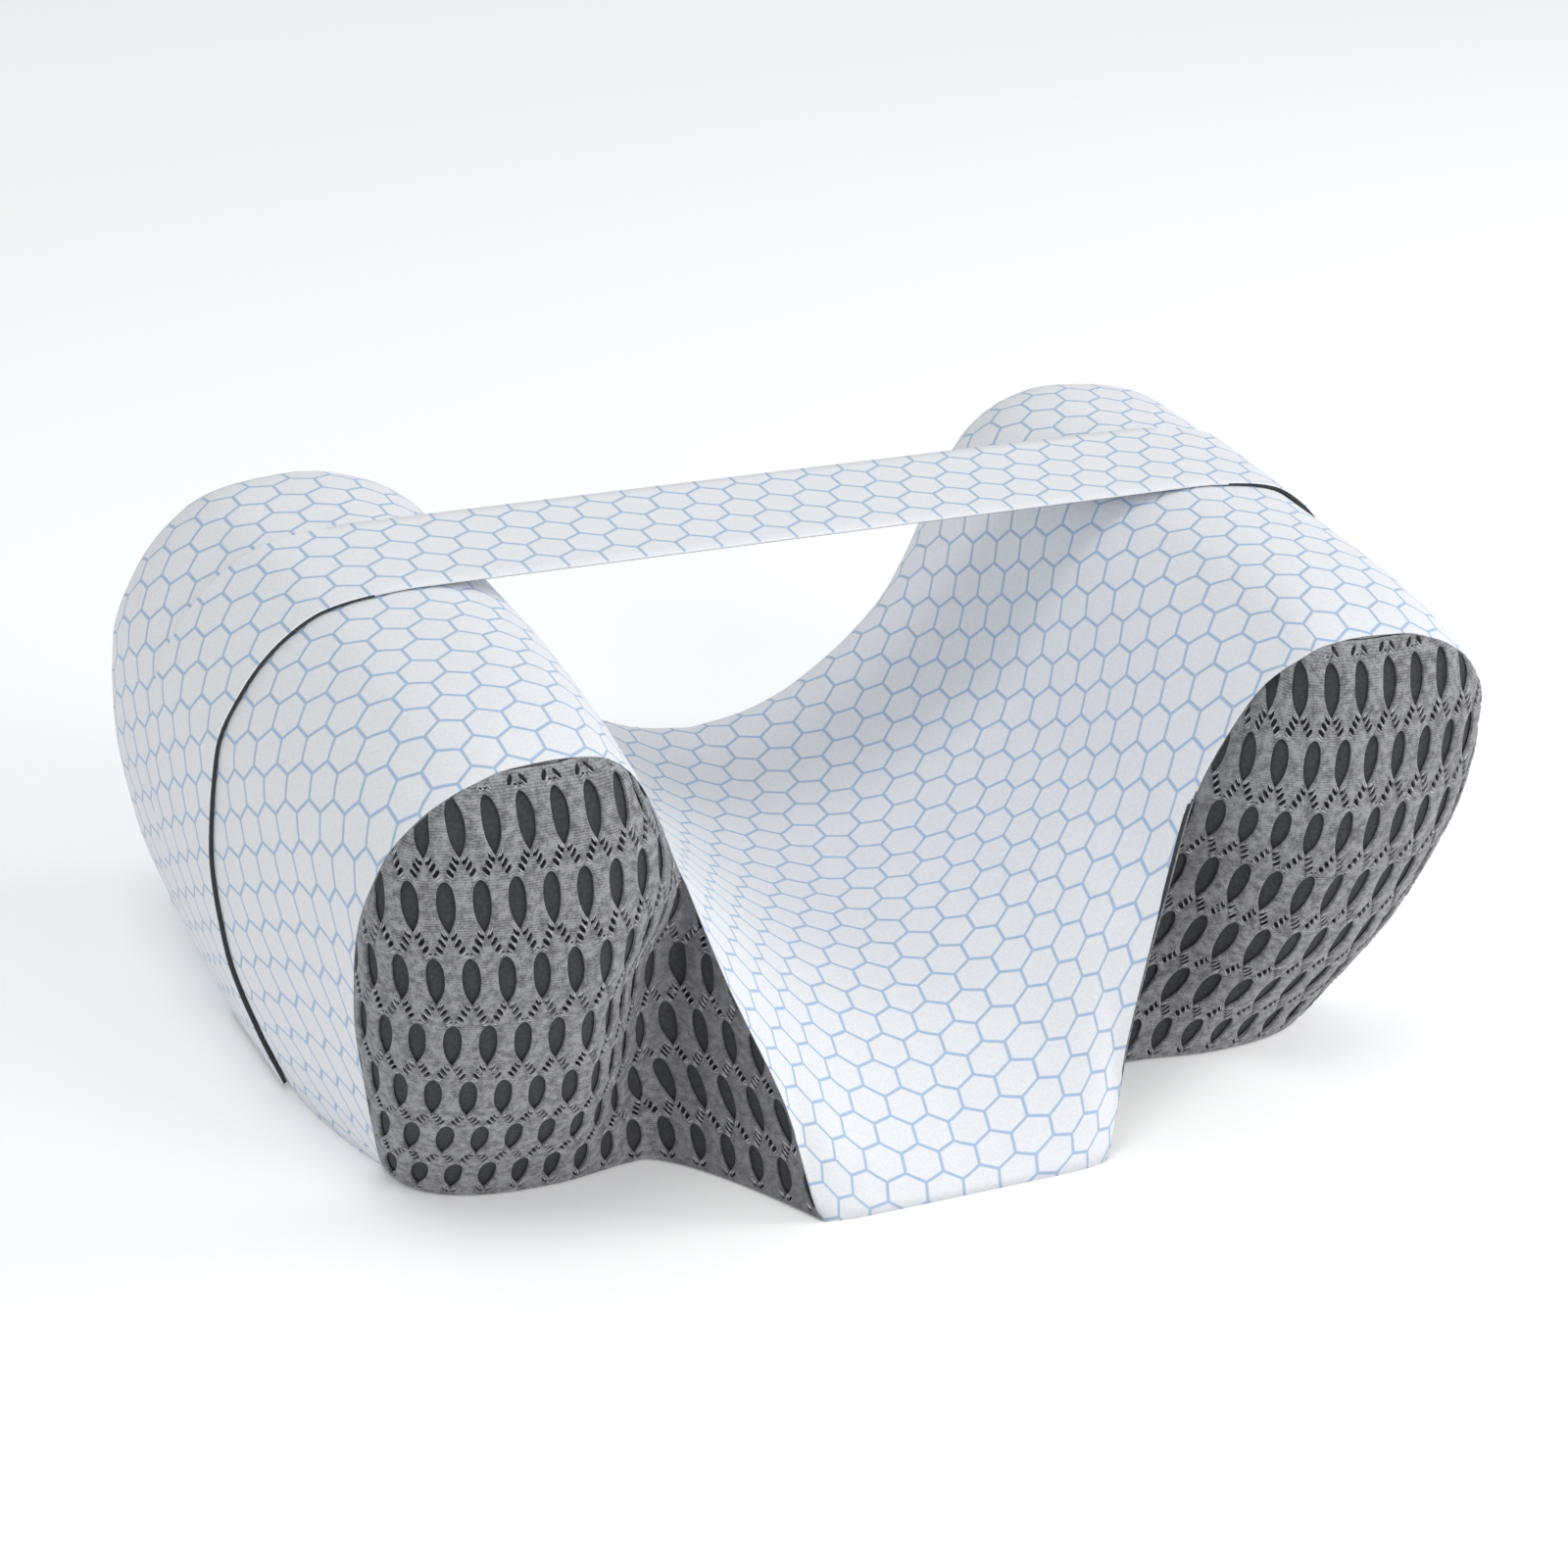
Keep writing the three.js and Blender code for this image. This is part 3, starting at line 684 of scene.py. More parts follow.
def cloth_uv(numbers, along):
    """Girth at the section and length along the rail from the section, in mm."""
    body = np.linspace(0, 1, BODY_SAMPLES) ** ROWS_BUNCHED
    fine = np.concatenate([body, 1 + np.linspace(0, 1, BACK_SAMPLES)[1:]])
    uvs = np.empty((len(numbers), len(along), 2))
    for i, number in enumerate(numbers):
        line = top_point(number, fine)
        run = lengths(line, 0)
        at_section = np.interp(SECTION_Y, line[:BODY_SAMPLES, 1], run[:BODY_SAMPLES])
        slack = SLACK * float(rail_curve(abs(number))[5])
        run = run - at_section - slack * np.maximum(at_section - run - SLACK_FROM, 0)
        uvs[i, :, 1] = np.interp(along, fine, run)
        uvs[i, :, 0] = math.copysign(np.interp(abs(number), fine_numbers, girth_curve), number)
    return uvs


cover_uvs = cloth_uv(numbers, along_steps).reshape(-1, 2)
print("cloth of the cover:", [round(float(v)) for v in np.ptp(cover_uvs, axis=0)], "mm")

# %% [markdown]
# The front of each roll is let in a little, so that the mesh panel lies flush in it,
# and shows as charcoal cloth through the mesh's holes. A narrow wall joins its edge
# to the cover's seam. The wall is grey like the mesh, because that is what shows in
# the seam.

# %% Front let in for the mesh
SEAM_DEPTH, FACE_DEPTH = 0.5, 1.9
FACE_COLUMNS = 60
FACE_MARGIN = 0.15
EASE = 0.4


def sunk_row(height, side):
    """One level row of the charcoal cloth behind a mesh panel."""
    start, end = face_ends(height)
    eased = smooth_step(np.linspace(0, 1, FACE_COLUMNS)) * EASE
    share = eased + np.linspace(0, 1 - EASE, FACE_COLUMNS)
    places = start + FACE_MARGIN + (end - start - 2 * FACE_MARGIN) * share
    heights = np.full_like(places, height)
    row = sunk_point(places, heights, pressed(places, heights, SEAM_DEPTH, FACE_DEPTH))
    if height == 0:
        row[:, 2] = 0
    return row * (side, 1, 1)


def let_in_front(side, points):
    """Adds one side's rows to points. Gives the faces behind, the walls and the lowest row."""
    seam = top_ids[len(half_numbers) - 1 :: side, 0]
    inner = [seam[np.searchsorted(half_numbers, n)] for n in inner_numbers]
    outer = [seam[np.searchsorted(half_numbers, n)] for n in outer_numbers]
    rows = []
    for height in levels:
        rows.append(list(range(len(points), len(points) + FACE_COLUMNS)))
        points.extend(sunk_row(height, side))
    behind, walls = [], []
    for k, (low, high) in enumerate(zip(rows, rows[1:])):
        behind += [(low[i], low[i + 1], high[i + 1], high[i]) for i in range(FACE_COLUMNS - 1)]
        walls.append((inner[k], low[0], high[0], inner[k + 1]))
        walls.append((low[-1], outer[k], outer[k + 1], high[-1]))
    first = int(np.searchsorted(half_numbers, inner_numbers[-1]))
    last = int(np.searchsorted(half_numbers, outer_numbers[-1]))
    ridge = seam[first : last + 1].tolist()
    walls += zip_chains([ridge[0], *rows[-1], ridge[-1]], ridge, points)
    walls = [face for face in walls if len(set(face)) == len(face)]
    return [face[::side] for face in behind], [face[::side] for face in walls], rows[0]


print("rows behind one mesh panel:", len(levels), "of", FACE_COLUMNS, "points")

# %% [markdown]
# The underside is one flat face, because the pillow lies on it. Its corners are the
# lowest row of the tongue, the let-in fronts, the sides and the back, once round.

# %% Cushion
KNIT, BEHIND, UNDERSIDE, WALL = range(4)
CUSHION_CLOTHS = [cover_knit, charcoal, plain_white, grey_mesh]


def base_ring(front_rows):
    tongue = top_ids[np.abs(numbers) <= CORNER_RAIL + 1e-6, 0]
    ring = [top_ids[0, 0], *front_rows[-1][::-1], *tongue, *front_rows[1]]
    return ring + [*top_ids[-1, :-1], *top_ids[::-1, -1], *top_ids[0, -2:0:-1]]


def build_cushion():
    points = list(top_grid.reshape(-1, 3))
    corners = top_ids[:-1, :-1], top_ids[1:, :-1], top_ids[1:, 1:], top_ids[:-1, 1:]
    faces = np.stack(corners, -1).reshape(-1, 4).tolist()
    slots = [KNIT] * len(faces)
    front_rows = {}
    for side in (1, -1):
        behind, walls, front_rows[side] = let_in_front(side, points)
        faces += behind + walls
        slots += [BEHIND] * len(behind) + [WALL] * len(walls)
    faces.append(base_ring(front_rows)[::-1])
    slots.append(UNDERSIDE)
    faces = [tuple(int(i) for i in face) for face in faces]
    uvs = np.zeros((len(points), 2))
    uvs[: len(cover_uvs)] = cover_uvs
    return make_piece("cushion_cover", points, faces, CUSHION_CLOTHS, slots, uvs)


cushion = build_cushion()
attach(cushion, "root")
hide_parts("cushion")

# %% [markdown]
# ## The spacer mesh
# The mesh on each roll is a knit with tall holes in rows, each row half a step
# beside the next. A hole is pointed below and rounder above. From each hole's point
# two columns of short slits lead down to the holes of the next row. The holes
# could be cut with booleans, or drawn with a transparent material, which has no
# thickness. Here the cloth is cut flat, with the hole rims and slits as edges of a
# constrained triangulation, and each of its points is then laid on the roll's front
# face. That gives real holes of any outline, and both skins share their corners.
# The two panels were cut from their cloth at different places, so the rows of
# holes start at a different distance from the nose on each side.

# %% Holes and slits in the flat cloth
HOLE_PITCH = 12.7
HOLE_HALF_WIDTH = 3.35
HOLE_ROWS = [  # height of the middle, half height
    (12.6, 8.2),
    (37, 9.4),
    (63, 10.2),
    (91, 10.4),
    (121, 10.2),
    (150.5, 10),
    (178.5, 10),
]
ROW_BELOW, ROW_ABOVE = (-13, 7.8), (207, 9.8)
COLUMNS = range(-24, 25)
SHIFTS = {-1: 2.2, 1: -3.3}
WIDEST_AT = 0.2
SLITS = [  # step from the hole's middle, share of the way down, lean, length
    (1.65, 0.08, 30, 3.9),
    (2.8, 0.36, 32, 4.2),
    (3.95, 0.65, 37, 4.0),
    (4.75, 0.92, 44, 3.4),
]
SLIT_WIDTH, SLIT_MARGIN = 1.6, 0.4
YARNS = [  # the same for the yarns between the slits
    (1.0, -0.04, 28, 3.2),
    (2.2, 0.235, 30, 3.8),
    (3.35, 0.51, 34, 3.8),
    (4.35, 0.78, 40, 3.6),
]
CLOTH_BOTTOM, CLOTH_TOP, CLOTH_INSET = 0.7, 194.2, 0.12


def hole_width(h):
    """A hole's half width at h, from -1 at its point to 1 at its top, as a share."""
    low = 1 - np.clip((WIDEST_AT - h) / (1 + WIDEST_AT), 0, 1) ** 2.6
    high = np.clip(1 - np.clip((h - WIDEST_AT) / (1 - WIDEST_AT), 0, 1) ** 2.3, 0, 1) ** 0.56
    return np.where(h < WIDEST_AT, low, high)


RIM_STEPS = np.array([-1, -0.84, -0.62, -0.36, -0.06, 0.26, 0.54, 0.74, 0.88, 0.965, 1])
rim_x = np.concatenate([hole_width(RIM_STEPS), -hole_width(RIM_STEPS)[-2:0:-1]])
rim_z = np.concatenate([RIM_STEPS, RIM_STEPS[-2:0:-1]])


def rim_outline(place, middle, half):
    return np.stack([place + rim_x * HOLE_HALF_WIDTH, middle + rim_z * half], -1)


def inside_cloth(places, margin=0.0):
    start, end = face_ends(places[..., 1])
    inside = places[..., 0] > start + CLOTH_INSET + margin
    inside &= places[..., 0] < end - CLOTH_INSET - margin
    inside &= places[..., 1] > CLOTH_BOTTOM + margin
    return inside & (places[..., 1] < CLOTH_TOP - margin)


print("points of one hole's rim:", len(rim_x))

# %% [markdown]
# Every second place of a row is left free, and the next row takes those. The slits
# lean away from the hole above them, like the bones of a fish, and those that
# would cross the cloth's edge are left out.


# %% Where the holes and slits lie
def lattice(shift):
    """The middle of every hole that touches the cloth, with its half height."""
    found = []
    for k, (middle, half) in enumerate(HOLE_ROWS):
        for column in COLUMNS:
            if (column + k) % 2:
                continue
            place = column * HOLE_PITCH / 2 + shift
            if inside_cloth(rim_outline(place, middle, half)).any():
                found.append((place, middle, half))
    return np.array(found)


def fishbone(table, shift):
    """Middle and direction of every slit or yarn of a table, with its length."""
    rows = [ROW_BELOW, *HOLE_ROWS, ROW_ABOVE]
    found = []
    for k in range(1, len(rows)):
        bottom, top = rows[k][0] - rows[k][1], rows[k - 1][0] + rows[k - 1][1]
        for column in COLUMNS:
            if (column + k - 1) % 2:
                continue
            for side in (-1, 1):
                for step, share, lean, length in table:
                    place = column * HOLE_PITCH / 2 + shift + side * step
                    a = math.radians(lean) * side
                    height = bottom + (top - bottom) * share
                    found.append((place, height, math.sin(a), math.cos(a), length))
    return np.array(found)


def slit_outlines(shift):
    outlines = []
    for place, height, x, z, length in fishbone(SLITS, shift):
        along, across = np.array([x, z]) * length / 2, np.array([z, -x]) * SLIT_WIDTH / 2
        outline = [along, along * 0.5 + across, along * -0.5 + across]
        outline += [-along, along * -0.5 - across, along * 0.5 - across]
        outline = np.array(outline) + (place, height)
        if inside_cloth(outline, SLIT_MARGIN).all():
            outlines.append(outline)
    return outlines


print("holes:", len(lattice(0)), "slits:", len(slit_outlines(0)))

# %% [markdown]
# The triangulation takes the cloth's outline, the rims and the slits as edges that
# must stay. Round each hole runs a ring of points, which will stand up a little as
# the knit does there, and a loose grid of points lets the cloth follow the roll's
# curve. Points too close to others are left out, so that no triangle is a sliver.

# %% Points of the flat cloth
RING_GAP_ACROSS, RING_GAP_ALONG = 0.75, 0.9
RING_CLEARANCE = 0.5
GRID_ACROSS, GRID_UP = 3.0, 2.6
GRID_MARGIN, GRID_CLEARANCE = 1.2, 1.1
GRID_LEFT, GRID_RIGHT, GRID_LOW, GRID_HIGH = -125, 80, 2.5, 193
OUTLINE_HEIGHTS = np.concatenate([np.arange(3, 186, 2.6), [187.5, 190, 191.8, 193.2]])


def cloth_outline():
    low_start, low_end = face_ends(CLOTH_BOTTOM)
    top_start, top_end = face_ends(CLOTH_TOP)
    starts, ends = face_ends(OUTLINE_HEIGHTS)
    bottom = np.linspace(low_start + CLOTH_INSET, low_end - CLOTH_INSET, 70)
    top = np.linspace(top_end - CLOTH_INSET, top_start + CLOTH_INSET, 16)
    sides = [
        np.stack([bottom, np.full_like(bottom, CLOTH_BOTTOM)], -1),
        np.stack([ends - CLOTH_INSET, OUTLINE_HEIGHTS], -1),
        np.stack([top, np.full_like(top, CLOTH_TOP)], -1),
        np.stack([starts + CLOTH_INSET, OUTLINE_HEIGHTS], -1)[::-1],
    ]
    return np.concatenate(sides)


def far_from(points, others, distance):
    keep = np.ones(len(points), bool)
    for i in range(0, len(points), 500):
        gaps = np.linalg.norm(points[i : i + 500, None] - others[None], axis=-1)
        keep[i : i + 500] = gaps.min(axis=1) > distance
    return points[keep]


def ring_points(holes, slits):
    rings = []
    for place, middle, half in holes:
        across = rim_x * (HOLE_HALF_WIDTH + RING_GAP_ACROSS)
        rings.append(np.stack([across, rim_z * (half + RING_GAP_ALONG)], -1) + (place, middle))
    rings = np.concatenate(rings)
    rings = rings[inside_cloth(rings, RING_CLEARANCE)]
    return far_from(rings, np.concatenate(slits), RING_CLEARANCE)


def grid_points(others):
    up = np.arange(GRID_LOW, GRID_HIGH, GRID_UP)
    across = np.arange(GRID_LEFT, GRID_RIGHT, GRID_ACROSS)
    z, s = np.meshgrid(up, across, indexing="ij")
    s = s + GRID_ACROSS / 2 * (np.round(z / GRID_UP).astype(int) % 2)
    grid = np.stack([s, z], -1).reshape(-1, 2)
    return far_from(grid[inside_cloth(grid, GRID_MARGIN)], others, GRID_CLEARANCE)


print("points of the cloth's outline:", len(cloth_outline()))

# %% [markdown]
# The triangulation fills the holes as well, so what lies inside a rim or a slit is
# then left out. Every point keeps the number of the outline that it came from, so
# that rims, rings and loose cloth can get a depth of their own later.

# %% Cut the cloth
LOOSE, RING = -1, -2
SAME_PLACE = 1e-5


def triangulate(points, loops, owner):
    """Places, triangles and each place's outline, with the loops as edges."""
    edges, at = [], 0
    for loop in loops:
        edges += [(at + i, at + (i + 1) % len(loop)) for i in range(len(loop))]
        at += len(loop)
    made = delaunay_2d_cdt([Vector(p) for p in points], edges, [], 0, SAME_PLACE)
    owners = np.array([owner[source[0]] if source else LOOSE for source in made[3]])
    return np.array([tuple(v) for v in made[0]]), np.array(made[2]), owners


def in_a_hole(places, holes):
    found = np.zeros(len(places), bool)
    for place, middle, half in holes:
        h = (places[:, 1] - middle) / half
        reach = HOLE_HALF_WIDTH * hole_width(h) * 0.999
        found |= (np.abs(h) < 1) & (np.abs(places[:, 0] - place) < reach)
    return found


def cut_cloth(shift):
    holes, slits = lattice(shift), slit_outlines(shift)
    loops = [cloth_outline()] + [rim_outline(*hole) for hole in holes] + slits
    first_slit = 1 + len(holes)
    fixed = np.concatenate(loops)
    rings = ring_points(holes, slits)
    points = np.concatenate([fixed, rings, grid_points(np.concatenate([fixed, rings]))])
    owner = np.full(len(points), LOOSE)
    owner[: len(fixed)] = np.repeat(np.arange(len(loops)), [len(loop) for loop in loops])
    owner[len(fixed) : len(fixed) + len(rings)] = RING
    places, triangles, owners = triangulate(points, loops, owner)
    centres = places[triangles].mean(axis=1)
    keep = inside_cloth(centres, -0.02) & ~in_a_hole(centres, holes)
    corners = owners[triangles]
    keep &= ~((corners[:, 0] >= first_slit) & (corners == corners[:, :1]).all(axis=1))
    triangles = triangles[keep]
    used = np.unique(triangles)
    renumber = np.full(len(places), -1)
    renumber[used] = np.arange(len(used))
    return places[used], renumber[triangles], owners[used]


flat_cloths = {side: cut_cloth(shift) for side, shift in SHIFTS.items()}
for flat_places, flat_triangles, _ in flat_cloths.values():
    print("flat cloth:", len(flat_places), "points,", len(flat_triangles), "triangles")

# %% [markdown]
# A spacer mesh has two faces with yarn between them. Each panel is the cut cloth
# twice, once just under the face and once deeper, joined by a wall round every
# hole. The rims dip and the rings round them stand up, and at the seams both skins
# are pressed together. Solidify would make the two skins too, but with the same
# thickness everywhere, which would pierce the cover at the seams.

# %% Mesh panels
LOOSE_DEPTH, RING_DEPTH, RIM_DEPTH, OUTLINE_DEPTH = 0.1, -0.1, 0.4, 0.05
INNER_EDGE, INNER_DEPTH = 0.3, 1.4
LEAST_THICKNESS = 0.2
ABOVE_FLOOR = 0.3
SHARP_ANGLE = math.radians(55)


def build_panel(name, side):
    places, triangles, owners = flat_cloths[side]
    count = len(places)
    kinds = [owners == LOOSE, owners == RING, owners == 0]
    outer_depth = np.select(kinds, [LOOSE_DEPTH, RING_DEPTH, OUTLINE_DEPTH], RIM_DEPTH)
    inner_depth = pressed(places[:, 0], places[:, 1], INNER_EDGE, INNER_DEPTH)
    outer_depth = np.minimum(outer_depth, inner_depth - LEAST_THICKNESS)
    outer = sunk_point(places[:, 0], places[:, 1], outer_depth)
    inner = sunk_point(places[:, 0], places[:, 1], inner_depth)
    points = np.concatenate([outer, inner]) * (side, 1, 1)
    points[:, 2] = np.maximum(points[:, 2], ABOVE_FLOOR)
    triangles = [tuple(int(i) for i in t) for t in triangles]
    faces = triangles + [(a + count, c + count, b + count) for a, b, c in triangles]
    directed = {(t[i], t[(i + 1) % 3]) for t in triangles for i in range(3)}
    faces += [(b, a, a + count, b + count) for a, b in sorted(directed) if (b, a) not in directed]
    faces = [face[::side] for face in faces]
    uvs = np.concatenate([places, places])
    piece = make_piece(name, points, faces, [grey_mesh], uvs=uvs)
    piece.data.set_sharp_from_angle(angle=SHARP_ANGLE)
    return piece


def cloth_area(side):
    places, triangles, _ = flat_cloths[side]
    points = face_point(places[:, 0], places[:, 1])
    a, b, c = (points[triangles[:, i]] for i in range(3))
    return 0.5 * np.linalg.norm(np.cross(b - a, c - a), axis=1).sum() * MM**2


panels = {side: build_panel(name, side) for name, side in (("mesh_left", -1), ("mesh_right", 1))}
print("mesh cloth in one panel:", round(cloth_area(1), 5), "square metres")

# %% [markdown]
# ## Raised yarns
# Between the slits the yarns of the knit stand up a little, and two yarns arch over each hole's
# top and run along its point. A bump map would show them only by shading, and flat from the side.
# One small spindle of yarn is made instead, with few faces, because there are many hundreds of
# them. The yarns stand up for real, but their grey, lighter than the mesh's, is a painted
# highlight.

# %% One spindle of yarn
YARN_LENGTH, YARN_RADIUS, YARN_SIDES = 3.6, 0.3, 5
SPINDLE = [(-0.25, 0.8), (0, 1), (0.25, 0.8)]  # share of the length, share of the radius
RIM_YARNS = [  # share of the half width, share of the half height, lean, length
    (0.45, 1.07, -62, 3.6),
    (0.55, -0.92, 30, 3.6),
]


def build_spindle():
    points = [(-YARN_LENGTH / 2, 0, 0), (YARN_LENGTH / 2, 0, 0)]
    for share, size in SPINDLE:
        for k in range(YARN_SIDES):
            a = 2 * math.pi * k / YARN_SIDES
            radius = YARN_RADIUS * size
            points.append((share * YARN_LENGTH, math.cos(a) * radius, math.sin(a) * radius))
    last = 2 + (len(SPINDLE) - 1) * YARN_SIDES
    faces = []
    for k in range(YARN_SIDES):
        after = (k + 1) % YARN_SIDES
        faces.append((0, 2 + after, 2 + k))
        faces.append((1, last + k, last + after))
        for ring in range(len(SPINDLE) - 1):
            a, b = 2 + ring * YARN_SIDES + k, 2 + ring * YARN_SIDES + after
            faces.append((a, b, b + YARN_SIDES, a + YARN_SIDES))
    mesh = bpy.data.meshes.new("spindle")
    mesh.from_pydata([tuple(v * MM for v in p) for p in points], [], faces)
    mesh.polygons.foreach_set("use_smooth", [True] * len(faces))
    return bpy.data.objects.new("spindle", mesh)


spindle = build_spindle()
print("one spindle:", len(spindle.data.polygons), "faces")

# %% [markdown]
# Geometry Nodes puts a copy of the spindle at each place of a cloud of points. Each
# point carries the direction outward from the face, the direction of the yarn's run
# and a stretch, and the tree turns and scales its copy by these.


# %% A copy of the spindle at every place
def yarn_tree():
    tree = bpy.data.node_groups.new("yarns_on_cloth", "GeometryNodeTree")
    sockets = {}
    for name, kind in (
        ("Places", "NodeSocketGeometry"),
        ("Spindle", "NodeSocketObject"),
        ("Yarn", "NodeSocketMaterial"),
    ):
        sockets[name] = tree.interface.new_socket(name, in_out="INPUT", socket_type=kind)
    tree.interface.new_socket("Yarns", in_out="OUTPUT", socket_type="NodeSocketGeometry")
    node = tree.nodes.new
    link = tree.links.new
    given, result = node("NodeGroupInput"), node("NodeGroupOutput")
    spindle, spread = node("GeometryNodeObjectInfo"), node("GeometryNodeInstanceOnPoints")
    axes, scale = node("FunctionNodeAxesToRotation"), node("ShaderNodeCombineXYZ")
    axes.primary_axis, axes.secondary_axis = "Z", "X"
    scale.inputs["Y"].default_value = scale.inputs["Z"].default_value = 1.0
    for name, kind, target in (
        ("outward", "FLOAT_VECTOR", axes.inputs["Primary Axis"]),
        ("along", "FLOAT_VECTOR", axes.inputs["Secondary Axis"]),
        ("stretch", "FLOAT", scale.inputs["X"]),
    ):
        attribute = node("GeometryNodeInputNamedAttribute")
        attribute.data_type = kind
        attribute.inputs["Name"].default_value = name
        link(attribute.outputs["Attribute"], target)
    link(given.outputs["Places"], spread.inputs["Points"])
    link(given.outputs["Spindle"], spindle.inputs["Object"])
    link(spindle.outputs["Geometry"], spread.inputs["Instance"])
    link(axes.outputs["Rotation"], spread.inputs["Rotation"])
    link(scale.outputs["Vector"], spread.inputs["Scale"])
    realize, paint = node("GeometryNodeRealizeInstances"), node("GeometryNodeSetMaterial")
    link(spread.outputs["Instances"], realize.inputs["Geometry"])
    link(realize.outputs["Geometry"], paint.inputs["Geometry"])
    link(given.outputs["Yarn"], paint.inputs["Material"])
    link(paint.outputs["Geometry"], result.inputs["Yarns"])
    return tree, {name: socket.identifier for name, socket in sockets.items()}


yarns_on_cloth, yarn_inputs = yarn_tree()
print("nodes of the tree:", len(yarns_on_cloth.nodes))

# %% [markdown]
# The places come from the same lattice as the holes and slits. The result of the
# tree is made a plain mesh, which needs no modifier any more.

# %% Yarns of both panels
YARN_DEPTH = 0.12
YARN_MARGIN = 0.2
RIM_YARN_GAP = 0.3


def yarn_places(shift):
    """Middle, direction and length of every raised yarn in the flat cloth."""
    found = list(fishbone(YARNS, shift))
    for place, middle, half in lattice(shift):
        for side in (-1, 1):
            for across, up, lean, length in RIM_YARNS:
                a = math.radians(lean) * side
                x = place + side * across * (HOLE_HALF_WIDTH + RIM_YARN_GAP)
                found.append((x, middle + up * half, math.sin(a), math.cos(a), length))
    found = np.array(found)
    reach = found[:, 2:4] * found[:, 4:5] / 2
    inside = inside_cloth(found[:, :2] + reach, YARN_MARGIN)
    inside &= inside_cloth(found[:, :2] - reach, YARN_MARGIN)
    return found[inside]


def build_yarns(name, side):
    found = yarn_places(SHIFTS[side])
    place, height = found[:, 0], found[:, 1]
    centre = sunk_point(place, height, np.full(len(found), YARN_DEPTH)) * (side, 1, 1)
    outward = face_normal(place, height) * (side, 1, 1)
    x, z = found[:, 2], found[:, 3]
    along = (face_point(place + x, height + z) - face_point(place - x, height - z)) * (side, 1, 1)
    mesh = bpy.data.meshes.new(name + "_places")
    mesh.from_pydata([tuple(p) for p in to_frame(centre)], [], [])
    for label, kind, key, values in (
        ("outward", "FLOAT_VECTOR", "vector", outward),
        ("along", "FLOAT_VECTOR", "vector", along),
        ("stretch", "FLOAT", "value", found[:, 4] / YARN_LENGTH),
    ):
        attribute = mesh.attributes.new(label, kind, "POINT")
        attribute.data.foreach_set(key, np.ascontiguousarray(values, dtype=np.float32).ravel())
    places = bpy.data.objects.new(name + "_places", mesh)
    bpy.context.collection.objects.link(places)
    modifier = places.modifiers.new("yarns", "NODES")
    modifier.node_group = yarns_on_cloth
    modifier[yarn_inputs["Spindle"]] = spindle
    modifier[yarn_inputs["Yarn"]] = yarn_painted_highlight
    evaluated = places.evaluated_get(bpy.context.evaluated_depsgraph_get())
    result = bpy.data.meshes.new_from_object(evaluated)
    bpy.data.objects.remove(places)
    piece = bpy.data.objects.new(name, result)
    bpy.context.collection.objects.link(piece)
    print(name, len(result.polygons), "faces")
    return piece


yarns = {side: build_yarns(name, side) for name, side in (("yarns_left", -1), ("yarns_right", 1))}

# %% [markdown]
# Each panel and its yarns stand for one solid of the frame.

# %% Panels in the frame
for side, node_name in ((-1, "mesh_panel_left"), (1, "mesh_panel_right")):
    for piece in (panels[side], yarns[side]):
        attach(piece, "root")
    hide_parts(node_name)
    cloth_area(side)

# %% [markdown]
# ## The band
# The band goes up one roll from the base seam, level across the gap and down the other roll. It
# lies close on the rolls' tops and stands off a little on their sides, where the shaded gap under
# it shows as a thin dark line, painted as charcoal on the band's inner side. A curve with a flat
# profile would twist on the way, so the band is a row of columns on the rails themselves, each
# pushed outward from the cushion. The last column on a ridge and its mirror image hold the level
# span between them.

# %% Columns of the band
BAND_THIN, BAND_THICK, THICKER_OVER = 1.3, 2.1, 60
# Down the rolls' sides the lower part of the band's thickness is charcoal: painted shadow of the
# gap under the band.
PAINTED_SHADOW_SHARE, PAINTED_SHADOW_FROM, PAINTED_SHADOW_OVER = 0.22, 15, 50
BAND_ROWS, SPAN_COLUMNS = 13, 33
BAND_RAILS = np.linspace(18.9, RIDGE_RAIL, 70)


def roll_columns():
    """For each column of the right half: points across the band, and outward."""
    y = np.linspace(STRAP_FRONT_Y, STRAP_BACK_Y, BAND_ROWS)
    rail = rail_curve(BAND_RAILS)[:, None, :]
    x, z = body_xz(np.broadcast_to(rail, (len(rail), BAND_ROWS, 9)), y[None, :])
    ahead_x, ahead_z = np.gradient(x, axis=0), np.gradient(z, axis=0)
    size = np.hypot(ahead_x, ahead_z)
    outward = np.stack([ahead_z / size, np.zeros_like(x), -ahead_x / size], -1)
    outward[-1] = (0, 0, 1)
    outward[-2] = (outward[-2] + outward[-1]) / 2
    return np.stack([x, np.broadcast_to(y, x.shape), z], -1), outward


def band_columns():
    """Points, outward, place in the print, thickness and painted-shadow share of each column."""
    base, outward = roll_columns()
    girth = np.interp(BAND_RAILS, fine_numbers, girth_curve)
    down = girth - girth[-1]
    thick = BAND_THIN + (BAND_THICK - BAND_THIN) * smooth_step(down / THICKER_OVER)
    dark = PAINTED_SHADOW_SHARE * smooth_step((down - PAINTED_SHADOW_FROM) / PAINTED_SHADOW_OVER)
    half_span = RAILS[RIDGE_RAIL, 3]
    u = half_span + down
    span = np.linspace(1, -1, SPAN_COLUMNS)[1:-1]
    scale = np.stack([span, np.ones_like(span), np.ones_like(span)], -1)
    middle = base[-1][None] * scale[:, None]
    upward = np.broadcast_to((0.0, 0, 1), middle.shape)
    mirror = np.array([-1, 1, 1])
    return (
        np.concatenate([base, middle, base[::-1] * mirror]),
        np.concatenate([outward, upward, outward[::-1] * mirror]),
        np.concatenate([u, span * half_span, -u[::-1]]),
        np.concatenate([thick, np.full(len(span), BAND_THIN), thick[::-1]]),
        np.concatenate([dark, np.zeros(len(span)), dark[::-1]]),
    )


print("columns of the band:", len(band_columns()[0]))
